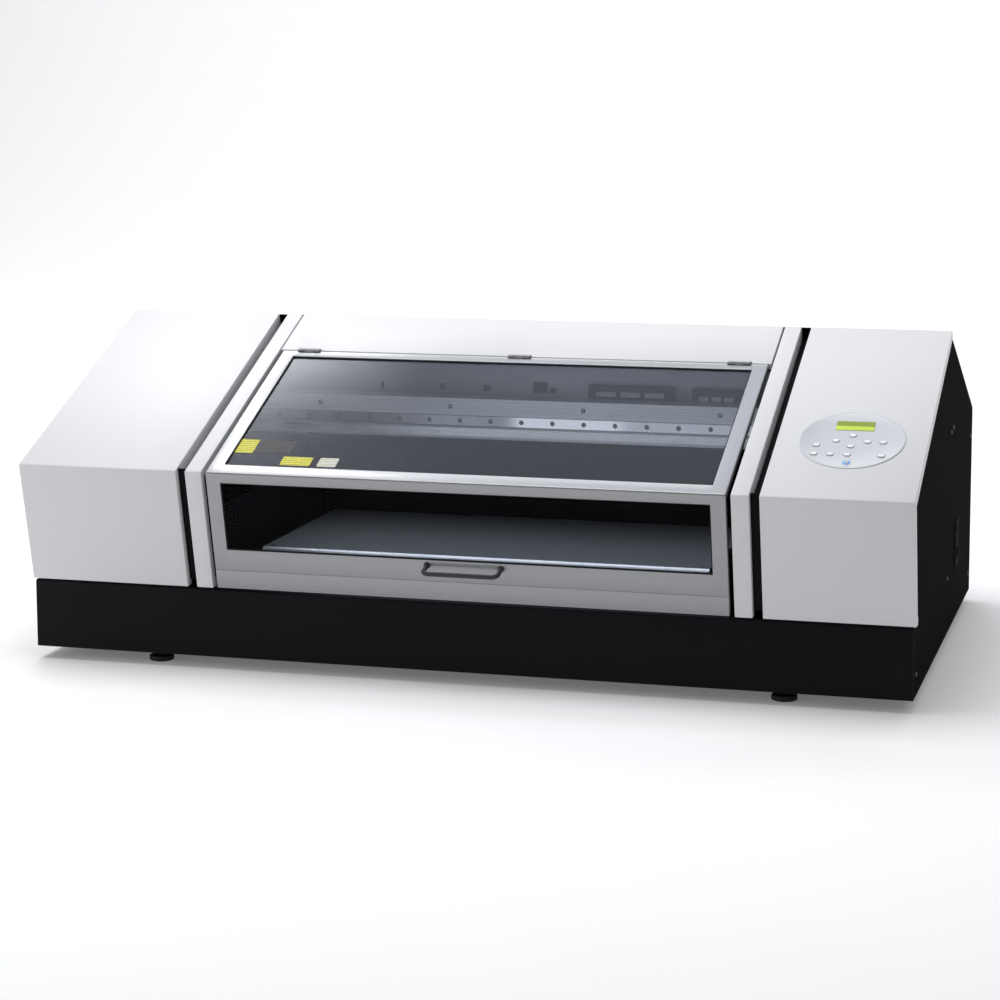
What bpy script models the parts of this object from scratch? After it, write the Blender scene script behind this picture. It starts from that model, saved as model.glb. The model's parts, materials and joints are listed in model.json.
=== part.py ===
"""A large flatbed UV printer, built as separate sub-parts in metres with +Z up.

The origin is on the floor under the middle of the machine. +X is to the operator's right and -Y is
the front. Sizes that fit together are worked out from the driving dimensions below.
"""

import math

import bmesh
import bpy
from mathutils import Matrix, Vector

# Overall size and the side outline, a gable that leans forward over the base.
WIDTH = 1.560
DEPTH = 0.955
HEIGHT = 0.576
FOLD_OVERHANG = 0.0468
FOLD_Z = 0.357
APEX_BEHIND_FOLD = 0.5168
EAVE_Z = 0.381
BASE_BOTTOM = 0.022
BASE_TOP = 0.143
COVER_BOTTOM = 0.145
SIDE_INSET = 0.004
TRAY_WALL_TOP = 0.060
APRON_LIP = 0.016

# Sheet thicknesses and the gap that separate pieces keep.
SHEET = 0.0025
PANEL = 0.002
REAR_SHEET = 0.0015
GAP = 0.0003
CLEAR = 0.010  # how far a cutter runs past what it cuts

# The centre bay, as half widths about its own middle.
BAY_X = 0.022
COVER_HALF = 0.452
HOOD_HALF = 0.457
PILLAR_INNER = 0.460
PILLAR_OUTER = 0.490
SIDE_COVER_INNER = 0.507
PILLAR_DEPTH = 0.016

# The opening front cover, measured along the slope (s) and up the front (t).
COVER_SKIN = 0.003
COVER_RIM = 0.014
RIM_SHEET = 0.0021
COVER_TOP_S = 0.4235
HOOD_START_S = 0.4265
SLOPE_WINDOW = (0.027, 0.4045)
FRONT_WINDOW = (0.074, 0.1985)
WINDOW_HALF = 0.4265
WINDOW_LAP = 0.007
WINDOW_SHEET = 0.003
GROOVE_T = 0.036
GROOVE_SIZE = 0.0008
HANDLE_SPAN = 0.130
HANDLE_RADIUS = 0.004

# Hinges of the front cover.
HINGE_S = 0.425
HINGE_N = 0.0012
HINGE_SPACING = 0.401
KNUCKLE_RADIUS = 0.0038
PIN_RADIUS = 0.0022
HINGE_HALF = 0.020
LEAF_HALF = 0.0075
HINGE_NOTCH = 0.005

# Guide beam, rail, belt and carriage, measured back from the base's front face.
BEAM_FRONT = 0.505
BEAM_BACK = 0.560
BEAM_BOTTOM = 0.345
BEAM_TOP = 0.421
BEAM_HALF = 0.715
SLOT_BOTTOM = 0.3685
SLOT_TOP = 0.389
SLOT_DEPTH = 0.022
RAIL_BOTTOM = 0.352
RAIL_HEIGHT = 0.015
RAIL_DEPTH = 0.014
BELT_HALF = 0.738
PULLEY_RADIUS = 0.0075
BELT_THICKNESS = 0.0016
SHAFT_RADIUS = 0.0025
CARRIAGE_X = 0.640
CARRIAGE_HALF = 0.072
CARRIAGE_BOTTOM = 0.330
CARRIAGE_TOP = 0.470
HEAD_Z = 0.3075

# Ink cartridge bays under the left cover.
INK_BAYS = 8
INK_PITCH = 0.030

# Flatbed table, its saddle and its lift.
TABLE_TOP_Z = 0.205
TABLE_THICKNESS = 0.012
TABLE_HALF = 0.400
TABLE_FRONT = 0.090
TABLE_BACK = 0.470
SADDLE_Z = 0.052
SADDLE_THICKNESS = 0.008
SADDLE_HALF = 0.350
TABLE_RAIL_X = 0.200
TABLE_RAIL_WIDTH = 0.020
TABLE_RAIL_HEIGHT = 0.015
LIFT_X = 0.300
LIFT_SCREW_RADIUS = 0.008
LIFT_SCREW_TOP = 0.190

# Operator panel: a disc let into the right cover's slope.
PANEL_X = 0.6545
PANEL_S = 0.182
PANEL_RADIUS = 0.0888
PANEL_PROUD = 0.001
PANEL_THICKNESS = 0.0065
DISPLAY_SIZE = (0.064, 0.028)
DISPLAY_S = 0.044
KEY_SIZE = (0.011, 0.008)
KEY_PROUD = 0.0022
KEY_DEPTH = 0.0040
KEY_TRAVEL = 0.001
KEYS = {
    "key_up": (0.0, 0.013),
    "key_left": (-0.026, -0.005),
    "key_right": (0.026, -0.005),
    "key_down": (0.0, -0.021),
    "key_menu": (-0.057, -0.020),
    "key_enter": (0.052, -0.005),
    "key_function": (-0.057, -0.047),
    "key_clean": (-0.030, -0.047),
    "key_test": (-0.002, -0.047),
    "key_pause": (0.054, -0.047),
}
POWER_KEY = (0.0, -0.070)
POWER_KEY_RADIUS = 0.0048

# Mains inlet and rocker switch on the right side.
INLET_BACK = 0.640
INLET_Z = 0.165
INLET_SIZE = (0.048, 0.078)
SOCKET_Z = 0.147
SOCKET_SIZE = (0.0285, 0.021)
SOCKET_DEPTH = 0.018
SWITCH_Z = 0.185
SWITCH_TILT = math.radians(7)
SWITCH_PIVOT_X = 0.7755
SWITCH_WIDTH = 0.013
SWITCH_WELL = (0.0144, 0.0224)

# Cooling slots in the rear panel.
VENT_X = 0.45
VENT_HALF = 0.060
VENT_BOTTOM = 0.120
VENT_PITCH = 0.016
VENT_HEIGHT = 0.006
VENT_SLOTS = 8

# Levelling feet.
FOOT_X = 0.558
FOOT_FRONT = 0.048
FOOT_RADIUS = 0.022
FOOT_HEIGHT = 0.010
STEM_RADIUS = 0.008

FRONT_Y = FOLD_OVERHANG - DEPTH / 2
FOLD_Y = -DEPTH / 2
APEX_Y = FOLD_Y + APEX_BEHIND_FOLD
REAR_Y = DEPTH / 2
PANEL_OUT_X = WIDTH / 2 - SIDE_INSET
FLOOR_Z = BASE_BOTTOM + PANEL
TABLE_MIDDLE_Y = FRONT_Y + (TABLE_FRONT + TABLE_BACK) / 2
BELT_Z = (SLOT_BOTTOM + SLOT_TOP) / 2

FINISHES = {
    "white_paint": ((0.86, 0.86, 0.87), 0.42, 0.0),
    "black_paint": ((0.012, 0.013, 0.015), 0.45, 0.0),
    "silver_paint": ((0.58, 0.58, 0.60), 0.36, 0.6),
    "tinted_acrylic": ((0.12, 0.14, 0.18), 0.05, 0.0),
    "dark_steel": ((0.10, 0.10, 0.11), 0.40, 0.8),
    "bright_steel": ((0.62, 0.63, 0.65), 0.25, 1.0),
    "aluminium": ((0.60, 0.61, 0.63), 0.35, 1.0),
    "grey_plastic": ((0.58, 0.59, 0.60), 0.45, 0.0),
    "black_plastic": ((0.02, 0.02, 0.022), 0.50, 0.0),
    "white_plastic": ((0.85, 0.85, 0.84), 0.40, 0.0),
    "display_glass": ((0.45, 0.62, 0.10), 0.15, 0.0),
    "belt_rubber": ((0.03, 0.03, 0.03), 0.70, 0.0),
}


def clear_scene():
    for old in list(bpy.data.objects):
        bpy.data.objects.remove(old, do_unlink=True)


def finish(name):
    """The Principled material of this finish, made the first time it is asked for."""
    if name in bpy.data.materials:
        return bpy.data.materials[name]
    colour, roughness, metallic = FINISHES[name]
    material = bpy.data.materials.new(name)
    material.use_nodes = True
    shader = material.node_tree.nodes["Principled BSDF"]
    shader.inputs["Base Color"].default_value = (*colour, 1.0)
    shader.inputs["Roughness"].default_value = roughness
    shader.inputs["Metallic"].default_value = metallic
    return material


def new_object(name, shape, place=None):
    """Turns a bmesh into an object and frees the bmesh."""
    bmesh.ops.recalc_face_normals(shape, faces=shape.faces)
    mesh = bpy.data.meshes.new(name)
    shape.to_mesh(mesh)
    shape.free()
    made = bpy.data.objects.new(name, mesh)
    bpy.context.collection.objects.link(made)
    if place is not None:
        made.matrix_world = place
    return made


def paint(made, name):
    made.data.materials.append(finish(name))
    return made


def smooth(made, angle=35):
    made.data.shade_smooth()
    made.data.set_sharp_from_angle(angle=math.radians(angle))
    return made


def combine(target, other, operation):
    """Adds or removes the other object's shape, and keeps that object only as a wire guide."""
    other.hide_render = True
    other.display_type = "WIRE"
    modifier = target.modifiers.new(other.name, "BOOLEAN")
    modifier.operation = operation
    modifier.solver = "EXACT"
    modifier.object = other
    return target


def cut(target, other):
    return combine(target, other, "DIFFERENCE")


def fuse(target, other):
    return combine(target, other, "UNION")


def block(name, x, y, z, place=None):
    """A box between two values along each axis."""
    shape = bmesh.new()
    bmesh.ops.create_cube(shape, size=1.0)
    size = Vector((x[1] - x[0], y[1] - y[0], z[1] - z[0]))
    middle = Vector((x[0] + x[1], y[0] + y[1], z[0] + z[1])) / 2
    bmesh.ops.scale(shape, vec=size, verts=shape.verts)
    bmesh.ops.translate(shape, vec=middle, verts=shape.verts)
    return new_object(name, shape, place)


def cylinder(name, centre, radius, length, axis="Z", segments=24, place=None):
    """A cylinder about its centre, along X, Y or Z."""
    turn = {
        "X": Matrix.Rotation(math.pi / 2, 4, "Y"),
        "Y": Matrix.Rotation(math.pi / 2, 4, "X"),
        "Z": Matrix.Identity(4),
    }[axis]
    shape = bmesh.new()
    bmesh.ops.create_cone(
        shape,
        cap_ends=True,
        segments=segments,
        radius1=radius,
        radius2=radius,
        depth=length,
        matrix=Matrix.Translation(centre) @ turn,
    )
    return new_object(name, shape, place)


def extruded(name, outline, reach, place=None):
    """A flat outline of points carried along the vector reach."""
    shape = bmesh.new()
    face = shape.faces.new([shape.verts.new(point) for point in outline])
    carried = bmesh.ops.extrude_face_region(shape, geom=[face])["geom"]
    moved = [part for part in carried if isinstance(part, bmesh.types.BMVert)]
    bmesh.ops.translate(shape, vec=reach, verts=moved)
    return new_object(name, shape, place)


def prism(name, outline, x0, x1, place=None):
    """An outline of (y, z) points carried from x0 to x1."""
    return extruded(name, [(x0, y, z) for y, z in outline], (x1 - x0, 0, 0), place)


def inward(path, depth):
    """The path moved towards the inside of the machine by depth, with mitred corners."""
    points = [Vector(point) for point in path]
    runs = [(b - a).normalized() for a, b in zip(points, points[1:])]
    normals = [Vector((run.y, -run.x)) for run in runs]
    moved = [points[0] + normals[0] * depth]
    for corner, before, after in zip(points[1:-1], normals, normals[1:]):
        mitre = (before + after).normalized()
        moved.append(corner + mitre * (depth / mitre.dot(before)))
    moved.append(points[-1] + normals[-1] * depth)
    return moved


def band(name, path, near, far, x0, x1):
    """A sheet that follows the path, between two depths under the outer surface."""
    outline = inward(path, near) + inward(path, far)[::-1]
    return prism(name, [tuple(point) for point in outline], x0, x1)


def along(start, end, distance):
    """The point this far from start towards end; a negative distance lies before start."""
    run = (Vector(end) - Vector(start)).normalized()
    return tuple(Vector(start) + run * distance)


def surface_frame(start, end):
    """A frame on a flat of the outline: X along the machine, Y up the flat, Z outwards."""
    run = (Vector(end) - Vector(start)).normalized()
    return Matrix(
        ((1, 0, 0, 0), (0, run.x, -run.y, start[0]), (0, run.y, run.x, start[1]), (0, 0, 0, 1))
    )


FOOT_OF_FRONT = (FRONT_Y, COVER_BOTTOM)
FOLD = (FOLD_Y, FOLD_Z)
APEX = (APEX_Y, HEIGHT)
EAVE = (REAR_Y, EAVE_Z)
OUTLINE = [FOOT_OF_FRONT, FOLD, APEX]
FRONTAL = surface_frame(FOOT_OF_FRONT, FOLD)
SLOPE = surface_frame(FOLD, APEX)
REAR_SLOPE = surface_frame(APEX, EAVE)
SLOPE_LENGTH = (Vector(APEX) - Vector(FOLD)).length
REAR_SLOPE_LENGTH = (Vector(EAVE) - Vector(APEX)).length


def pivot(name, place, pieces):
    """An empty on a joint's axis, which carries the pieces that the joint moves."""
    empty = bpy.data.objects.new(name, None)
    bpy.context.collection.objects.link(empty)
    empty.empty_display_size = 0.03
    empty.matrix_world = place
    for piece in pieces:
        piece.parent = empty
        piece.matrix_parent_inverse = place.inverted()
    return empty


def rounded_block(name, size, radius, bottom, top, place, corner_points=3):
    """A plate with round corners about the frame's origin, between two heights."""
    outline = []
    for quarter in range(4):
        sign_x = (1, -1, -1, 1)[quarter]
        sign_y = (1, 1, -1, -1)[quarter]
        centre = (sign_x * (size[0] / 2 - radius), sign_y * (size[1] / 2 - radius))
        for step in range(corner_points + 1):
            angle = math.pi / 2 * (quarter + step / corner_points)
            x = centre[0] + radius * math.cos(angle)
            y = centre[1] + radius * math.sin(angle)
            outline.append((x, y, bottom))
    return extruded(name, outline, (0, 0, top - bottom), place)


def base_tray():
    """The folded floor pan that everything stands on."""
    half = PANEL_OUT_X - PANEL - GAP
    front = FRONT_Y + PANEL + GAP
    back = REAR_Y - PANEL - GAP
    tray = block("base_tray", (-half, half), (front, back), (BASE_BOTTOM, TRAY_WALL_TOP))
    inside = block(
        "base_tray_inside",
        (-half + PANEL, half - PANEL),
        (front + PANEL, back - PANEL),
        (FLOOR_Z, TRAY_WALL_TOP + CLEAR),
    )
    return paint(cut(tray, inside), "black_paint")


def base_apron():
    """The black front panel of the base, with its top edge folded back."""
    outline = [
        (FRONT_Y, BASE_BOTTOM),
        (FRONT_Y, BASE_TOP),
        (FRONT_Y + APRON_LIP, BASE_TOP),
        (FRONT_Y + APRON_LIP, BASE_TOP - PANEL),
        (FRONT_Y + PANEL, BASE_TOP - PANEL),
        (FRONT_Y + PANEL, BASE_BOTTOM),
    ]
    return paint(prism("base_apron", outline, -PANEL_OUT_X, PANEL_OUT_X), "black_paint")


def side_panel(name, side):
    """The gable-shaped side panel under the folded covers."""
    clear = SHEET + GAP
    front = FRONT_Y + PANEL + GAP
    roof = inward([FOOT_OF_FRONT, FOLD, APEX, EAVE, (REAR_Y, BASE_BOTTOM)], clear)
    under_lip = BASE_TOP - PANEL - GAP
    shoulder = FRONT_Y + APRON_LIP + GAP
    over_lip = COVER_BOTTOM + SIDE_INSET
    outline = [(front, BASE_BOTTOM), (front, under_lip), (shoulder, under_lip)]
    outline += [(shoulder, over_lip), (roof[0].x, over_lip)]
    outline += [tuple(point) for point in roof[1:]]
    ends = sorted((side * PANEL_OUT_X, side * (PANEL_OUT_X - PANEL)))
    panel = prism(name, outline, *ends)
    if side > 0:
        reach = (PANEL_OUT_X - CLEAR, PANEL_OUT_X + CLEAR)
        size = [edge + 0.001 for edge in INLET_SIZE]
        cut(panel, side_block("inlet_hole", reach, FRONT_Y + INLET_BACK, INLET_Z, size))
    return paint(panel, "black_paint")


def rear_panel():
    """The upright back panel with two banks of cooling slots."""
    panel = block(
        "rear_panel",
        (-PANEL_OUT_X, PANEL_OUT_X),
        (REAR_Y - PANEL, REAR_Y),
        (BASE_BOTTOM, EAVE_Z - SIDE_INSET),
    )
    for bank, middle in enumerate((-VENT_X, VENT_X)):
        for row in range(VENT_SLOTS):
            z = VENT_BOTTOM + row * VENT_PITCH
            slot = block(
                f"rear_slot_{bank}_{row}",
                (middle - VENT_HALF, middle + VENT_HALF),
                (REAR_Y - CLEAR, REAR_Y + CLEAR),
                (z, z + VENT_HEIGHT),
            )
            cut(panel, slot)
    return paint(panel, "black_paint")


def rear_cover():
    """The black sheet over the rear slope."""
    cover = block(
        "rear_cover",
        (-PANEL_OUT_X, PANEL_OUT_X),
        (0.0025, REAR_SLOPE_LENGTH - 0.0005),
        (-REAR_SHEET, 0.0),
        REAR_SLOPE,
    )
    return paint(cover, "black_paint")


def folded_shell(name, path, sheet, x0, x1, ends):
    """A sheet that follows the path, with rims turned in at its sides and, if wanted, its ends."""
    rim_depth, thickness = sheet
    shell = band(name, path, 0.0, rim_depth, x0, x1)
    inset = RIM_SHEET if ends else -2 * CLEAR
    first = along(path[0], path[1], inset)
    last = along(path[-1], path[-2], inset)
    hollow = [first, *path[1:-1], last]
    far = rim_depth + CLEAR
    inside = band(f"{name}_hollow", hollow, thickness, far, x0 + RIM_SHEET, x1 - RIM_SHEET)
    return cut(shell, inside)


def side_covers():
    """The two white covers, each one sheet folded at the front edge, open at the apex."""
    edge = WIDTH / 2
    sheet = (COVER_RIM, SHEET)
    left = folded_shell("left_cover", OUTLINE, sheet, -edge, BAY_X - SIDE_COVER_INNER, False)
    right = folded_shell("right_cover", OUTLINE, sheet, BAY_X + SIDE_COVER_INNER, edge, False)
    centre = (PANEL_X, PANEL_S, 0.0)
    hole = cylinder("panel_hole", centre, PANEL_RADIUS + 2 * GAP, 2 * CLEAR, segments=64, place=SLOPE)
    cut(right, hole)
    paint(left, "white_paint")
    paint(right, "white_paint")


def pillar(name, side):
    """The white strip beside the front cover, with a low flange that closes the shadow gap."""
    face = sorted((BAY_X + side * PILLAR_INNER, BAY_X + side * PILLAR_OUTER))
    inner = BAY_X + side * (PILLAR_OUTER - 0.001)
    outer = BAY_X + side * (SIDE_COVER_INNER - 0.0005)
    end = along(APEX, FOLD, 0.002)
    path = [FOOT_OF_FRONT, FOLD, end]
    strip = band(name, path, 0.0, PILLAR_DEPTH, *face)
    shelf_path = [along(FOOT_OF_FRONT, FOLD, 0.001), FOLD, along(APEX, FOLD, 0.003)]
    near = PILLAR_DEPTH - 0.003
    far = PILLAR_DEPTH - 0.0005
    shelf = band(f"{name}_flange", shelf_path, near, far, *sorted((inner, outer)))
    return paint(fuse(strip, shelf), "white_paint")


def hood():
    """The fixed white top of the centre bay, with a turned-down front lip and hinge notches."""
    lip = 0.012
    end = SLOPE_LENGTH - 0.0005
    outline = [
        (HOOD_START_S, 0.0),
        (end, 0.0),
        (end, -SHEET),
        (HOOD_START_S + SHEET, -SHEET),
        (HOOD_START_S + SHEET, -lip),
        (HOOD_START_S, -lip),
    ]
    top = prism("hood", outline, BAY_X - HOOD_HALF, BAY_X + HOOD_HALF, SLOPE)
    cut_hinge_notches(top, HOOD_START_S)
    return paint(top, "white_paint")


def cut_hinge_notches(sheet, edge_s):
    """Cuts room for the three hinges into the edge of a sheet."""
    for index, x in enumerate(hinge_positions()):
        reach = HINGE_HALF + 0.0015
        notch = block(
            f"{sheet.name}_notch_{index}",
            (x - reach, x + reach),
            (edge_s - HINGE_NOTCH, edge_s + HINGE_NOTCH),
            (-2 * CLEAR, CLEAR),
            SLOPE,
        )
        cut(sheet, notch)


def hinge_positions():
    return [BAY_X + step * HINGE_SPACING for step in (-1, 0, 1)]


def hinge_bracket(name, x):
    """The fixed half of a hinge: a leaf under the hood, two knuckles and the pin."""
    bracket = block(
        name,
        (x - HINGE_HALF, x + HINGE_HALF),
        (HOOD_START_S + 0.003, HOOD_START_S + 0.024),
        (-0.0050, -0.0030),
        SLOPE,
    )
    for index, side in enumerate((-1, 1)):
        ends = sorted((x + side * (LEAF_HALF + 0.0005), x + side * HINGE_HALF))
        barrel = cylinder(
            f"{name}_knuckle_{index}",
            ((ends[0] + ends[1]) / 2, HINGE_S, HINGE_N),
            KNUCKLE_RADIUS,
            ends[1] - ends[0],
            "X",
            16,
            SLOPE,
        )
        web = block(
            f"{name}_web_{index}",
            (ends[0] + 0.0004, ends[1] - 0.0004),
            (HINGE_S + 0.0006, HOOD_START_S + 0.0045),
            (-0.0045, HINGE_N),
            SLOPE,
        )
        fuse(bracket, barrel)
        fuse(bracket, web)
    pin = cylinder(f"{name}_pin", (x, HINGE_S, HINGE_N), PIN_RADIUS, 0.030, "X", 16, SLOPE)
    return paint(smooth(fuse(bracket, pin)), "dark_steel")


def hinge_leaf(name, x):
    """The moving half of a hinge: a short leaf on the front cover and the middle knuckle."""
    leaf = block(
        name,
        (x - HINGE_HALF + 0.001, x + HINGE_HALF - 0.001),
        (0.4120, 0.4205),
        (-0.0053, -0.0033),
        SLOPE,
    )
    barrel = cylinder(
        f"{name}_knuckle", (x, HINGE_S, HINGE_N), KNUCKLE_RADIUS, 2 * LEAF_HALF, "X", 16, SLOPE
    )
    web = block(
        f"{name}_web",
        (x - LEAF_HALF + 0.0004, x + LEAF_HALF - 0.0004),
        (0.4195, HINGE_S - 0.0006),
        (-0.0048, HINGE_N),
        SLOPE,
    )
    bore = cylinder(f"{name}_bore", (x, HINGE_S, HINGE_N), PIN_RADIUS + 0.0003, 0.03, "X", 16, SLOPE)
    fuse(leaf, barrel)
    fuse(leaf, web)
    return paint(smooth(cut(leaf, bore)), "dark_steel")


def front_cover():
    """The silver cover: one folded frame with a sloped and an upright window opening."""
    start = along(FOOT_OF_FRONT, FOLD, 0.0015)
    end = along(FOLD, APEX, COVER_TOP_S)
    path = [start, FOLD, end]
    edges = (BAY_X - COVER_HALF, BAY_X + COVER_HALF)
    cover = folded_shell("front_cover", path, (COVER_RIM, COVER_SKIN), *edges, True)
    openings = (("slope", SLOPE, SLOPE_WINDOW), ("front", FRONTAL, FRONT_WINDOW))
    for label, place, span in openings:
        opening = block(
            f"{label}_opening",
            (BAY_X - WINDOW_HALF, BAY_X + WINDOW_HALF),
            span,
            (-2 * COVER_SKIN, CLEAR),
            place,
        )
        cut(cover, opening)
    groove = block(
        "cover_groove",
        (BAY_X - COVER_HALF - CLEAR, BAY_X + COVER_HALF + CLEAR),
        (GROOVE_T - GROOVE_SIZE, GROOVE_T + GROOVE_SIZE),
        (-GROOVE_SIZE, CLEAR),
        FRONTAL,
    )
    cut(cover, groove)
    cut_hinge_notches(cover, COVER_TOP_S)
    return paint(cover, "silver_paint")


def window(name, place, span):
    """A tinted acrylic pane held behind the cover's frame."""
    top = -COVER_SKIN - GAP
    pane = block(
        name,
        (BAY_X - WINDOW_HALF - WINDOW_LAP, BAY_X + WINDOW_HALF + WINDOW_LAP),
        (span[0] - WINDOW_LAP, span[1] + WINDOW_LAP),
        (top - WINDOW_SHEET, top),
        place,
    )
    return paint(pane, "tinted_acrylic")


def cover_handle():
    """A bent round bar with its two legs on the cover's lower rail."""
    leg_z = 0.2085
    bar_z = 0.1990
    face_y = FRONT_Y - FOLD_OVERHANG * (leg_z - COVER_BOTTOM) / (FOLD_Z - COVER_BOTTOM)
    bar_y = FOLD_Y + HANDLE_RADIUS + 0.0004
    bend = 0.009
    foot = Vector((0.0, face_y - GAP - 0.0010, leg_z))
    corner = Vector((0.0, bar_y, bar_z))
    inboard = (foot - corner).normalized() * bend
    half = HANDLE_SPAN / 2
    points = []
    for side in (-1, 1):
        shift = Vector((BAY_X + side * half, 0.0, 0.0))
        inner = Vector((-side * bend, 0.0, 0.0))
        arc = []
        for step in range(5):
            angle = math.pi / 2 * step / 4
            arc.append(
                corner + shift + (inboard + inner)
                - inboard * math.sin(angle)
                - inner * math.cos(angle)
            )
        leg = [foot + shift, *arc]
        points += leg if side < 0 else leg[::-1]
    curve = bpy.data.curves.new("cover_handle", "CURVE")
    curve.dimensions = "3D"
    curve.bevel_depth = HANDLE_RADIUS
    curve.bevel_resolution = 2
    curve.use_fill_caps = True
    spline = curve.splines.new("POLY")
    spline.points.add(len(points) - 1)
    for target, point in zip(spline.points, points):
        target.co = (*point, 1.0)
    handle = bpy.data.objects.new("cover_handle", curve)
    bpy.context.collection.objects.link(handle)
    return paint(handle, "dark_steel")


def guide_beam():
    """The extruded beam that carries the print carriage, with a belt slot along its front."""
    front = FRONT_Y + BEAM_FRONT
    back = FRONT_Y + BEAM_BACK
    floor = front + SLOT_DEPTH
    outline = [
        (front, BEAM_BOTTOM),
        (front, SLOT_BOTTOM),
        (floor, SLOT_BOTTOM),
        (floor, SLOT_TOP),
        (front, SLOT_TOP),
        (front, BEAM_TOP),
        (back, BEAM_TOP),
        (back, BEAM_BOTTOM),
    ]
    reach = BELT_HALF + 0.016
    beam = prism("guide_beam", outline, -reach, reach)
    for index, side in enumerate((-1, 1)):
        relief = block(
            f"beam_relief_{index}",
            sorted((side * BEAM_HALF, side * (reach + CLEAR))),
            (front - CLEAR, floor),
            (BEAM_BOTTOM - CLEAR, BEAM_TOP + CLEAR),
        )
        cut(beam, relief)
    axle_centre = (-BELT_HALF, floor - 0.0075, BELT_Z)
    axle = cylinder("idler_axle", axle_centre, SHAFT_RADIUS, 0.021, "Y", 16)
    fuse(beam, axle)
    hole = cylinder("motor_hole", (BELT_HALF, back, BELT_Z), 0.006, 0.2, "Y", 16)
    cut(beam, hole)
    return paint(smooth(beam), "aluminium")


def guide_rail():
    """The ground steel rail, waisted along its sides, on the beam's front face."""
    front = FRONT_Y + BEAM_FRONT - GAP - RAIL_DEPTH
    back = front + RAIL_DEPTH
    top = RAIL_BOTTOM + RAIL_HEIGHT
    waist = 0.0015
    outline = [
        (front, RAIL_BOTTOM),
        (front, top),
        (front + 0.004, top),
        (front + 0.006, top - waist),
        (back, top - waist),
        (back, RAIL_BOTTOM + waist),
        (front + 0.006, RAIL_BOTTOM + waist),
        (front + 0.004, RAIL_BOTTOM),
    ]
    return paint(prism("guide_rail", outline, -0.70, 0.70), "bright_steel")


def stadium(name, radius, y0, y1):
    """A long slab with round ends about the two pulley axes."""
    outline = []
    steps = 8
    for side in (1, -1):
        for step in range(steps + 1):
            angle = math.pi * step / steps - math.pi / 2
            x = side * (BELT_HALF + radius * math.cos(angle))
            outline.append((x, y0, BELT_Z + side * radius * math.sin(angle)))
    return extruded(name, outline, (0, y1 - y0, 0))


def drive_belt():
    """The toothed belt's loop in the beam's slot."""
    front = FRONT_Y + BEAM_FRONT
    inner = PULLEY_RADIUS + GAP
    belt = stadium("drive_belt", inner + BELT_THICKNESS, front + 0.006, front + 0.014)
    hollow = stadium("belt_hollow", inner, front, front + 0.020)
    return paint(smooth(cut(belt, hollow)), "belt_rubber")


def pulley(name, side):
    """A flanged pulley with a bore for its shaft."""
    front = FRONT_Y + BEAM_FRONT
    x = side * BELT_HALF
    centre = (x, front + 0.010, BELT_Z)
    wheel = cylinder(name, centre, PULLEY_RADIUS, 0.0104, "Y", 24)
    for index, y in enumerate((front + 0.0048, front + 0.0152)):
        rim = PULLEY_RADIUS + 0.003
        flange = cylinder(f"{name}_flange_{index}", (x, y, BELT_Z), rim, 0.0012, "Y", 24)
        fuse(wheel, flange)
    bore = cylinder(f"{name}_bore", centre, SHAFT_RADIUS + GAP, 0.04, "Y", 16)
    cut(wheel, bore)
    paint(smooth(wheel), "aluminium")
    pivot(f"{name}_axis", Matrix.Translation(centre), [wheel])


def carriage_motor():
    """The scan motor behind the beam's right end, with its shaft through the drive pulley."""
    back = FRONT_Y + BEAM_BACK + GAP
    half = 0.028
    motor = block(
        "carriage_motor",
        (BELT_HALF - half, BELT_HALF + half),
        (back, back + 0.070),
        (BELT_Z - half, BELT_Z + half),
    )
    start = FRONT_Y + BEAM_FRONT + 0.002
    end = back + CLEAR
    centre = (BELT_HALF, (start + end) / 2, BELT_Z)
    shaft = cylinder("motor_shaft", centre, SHAFT_RADIUS, end - start, "Y", 16)
    return paint(smooth(fuse(motor, shaft)), "black_plastic")


def beam_post(name, side):
    """The post from the floor pan to the underside of the beam."""
    x = BAY_X + side * 0.480
    post = block(
        name,
        (x - 0.015, x + 0.015),
        (FRONT_Y + BEAM_FRONT + 0.002, FRONT_Y + BEAM_BACK - 0.002),
        (FLOOR_Z + GAP, BEAM_BOTTOM - GAP),
    )
    return paint(post, "aluminium")


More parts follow.
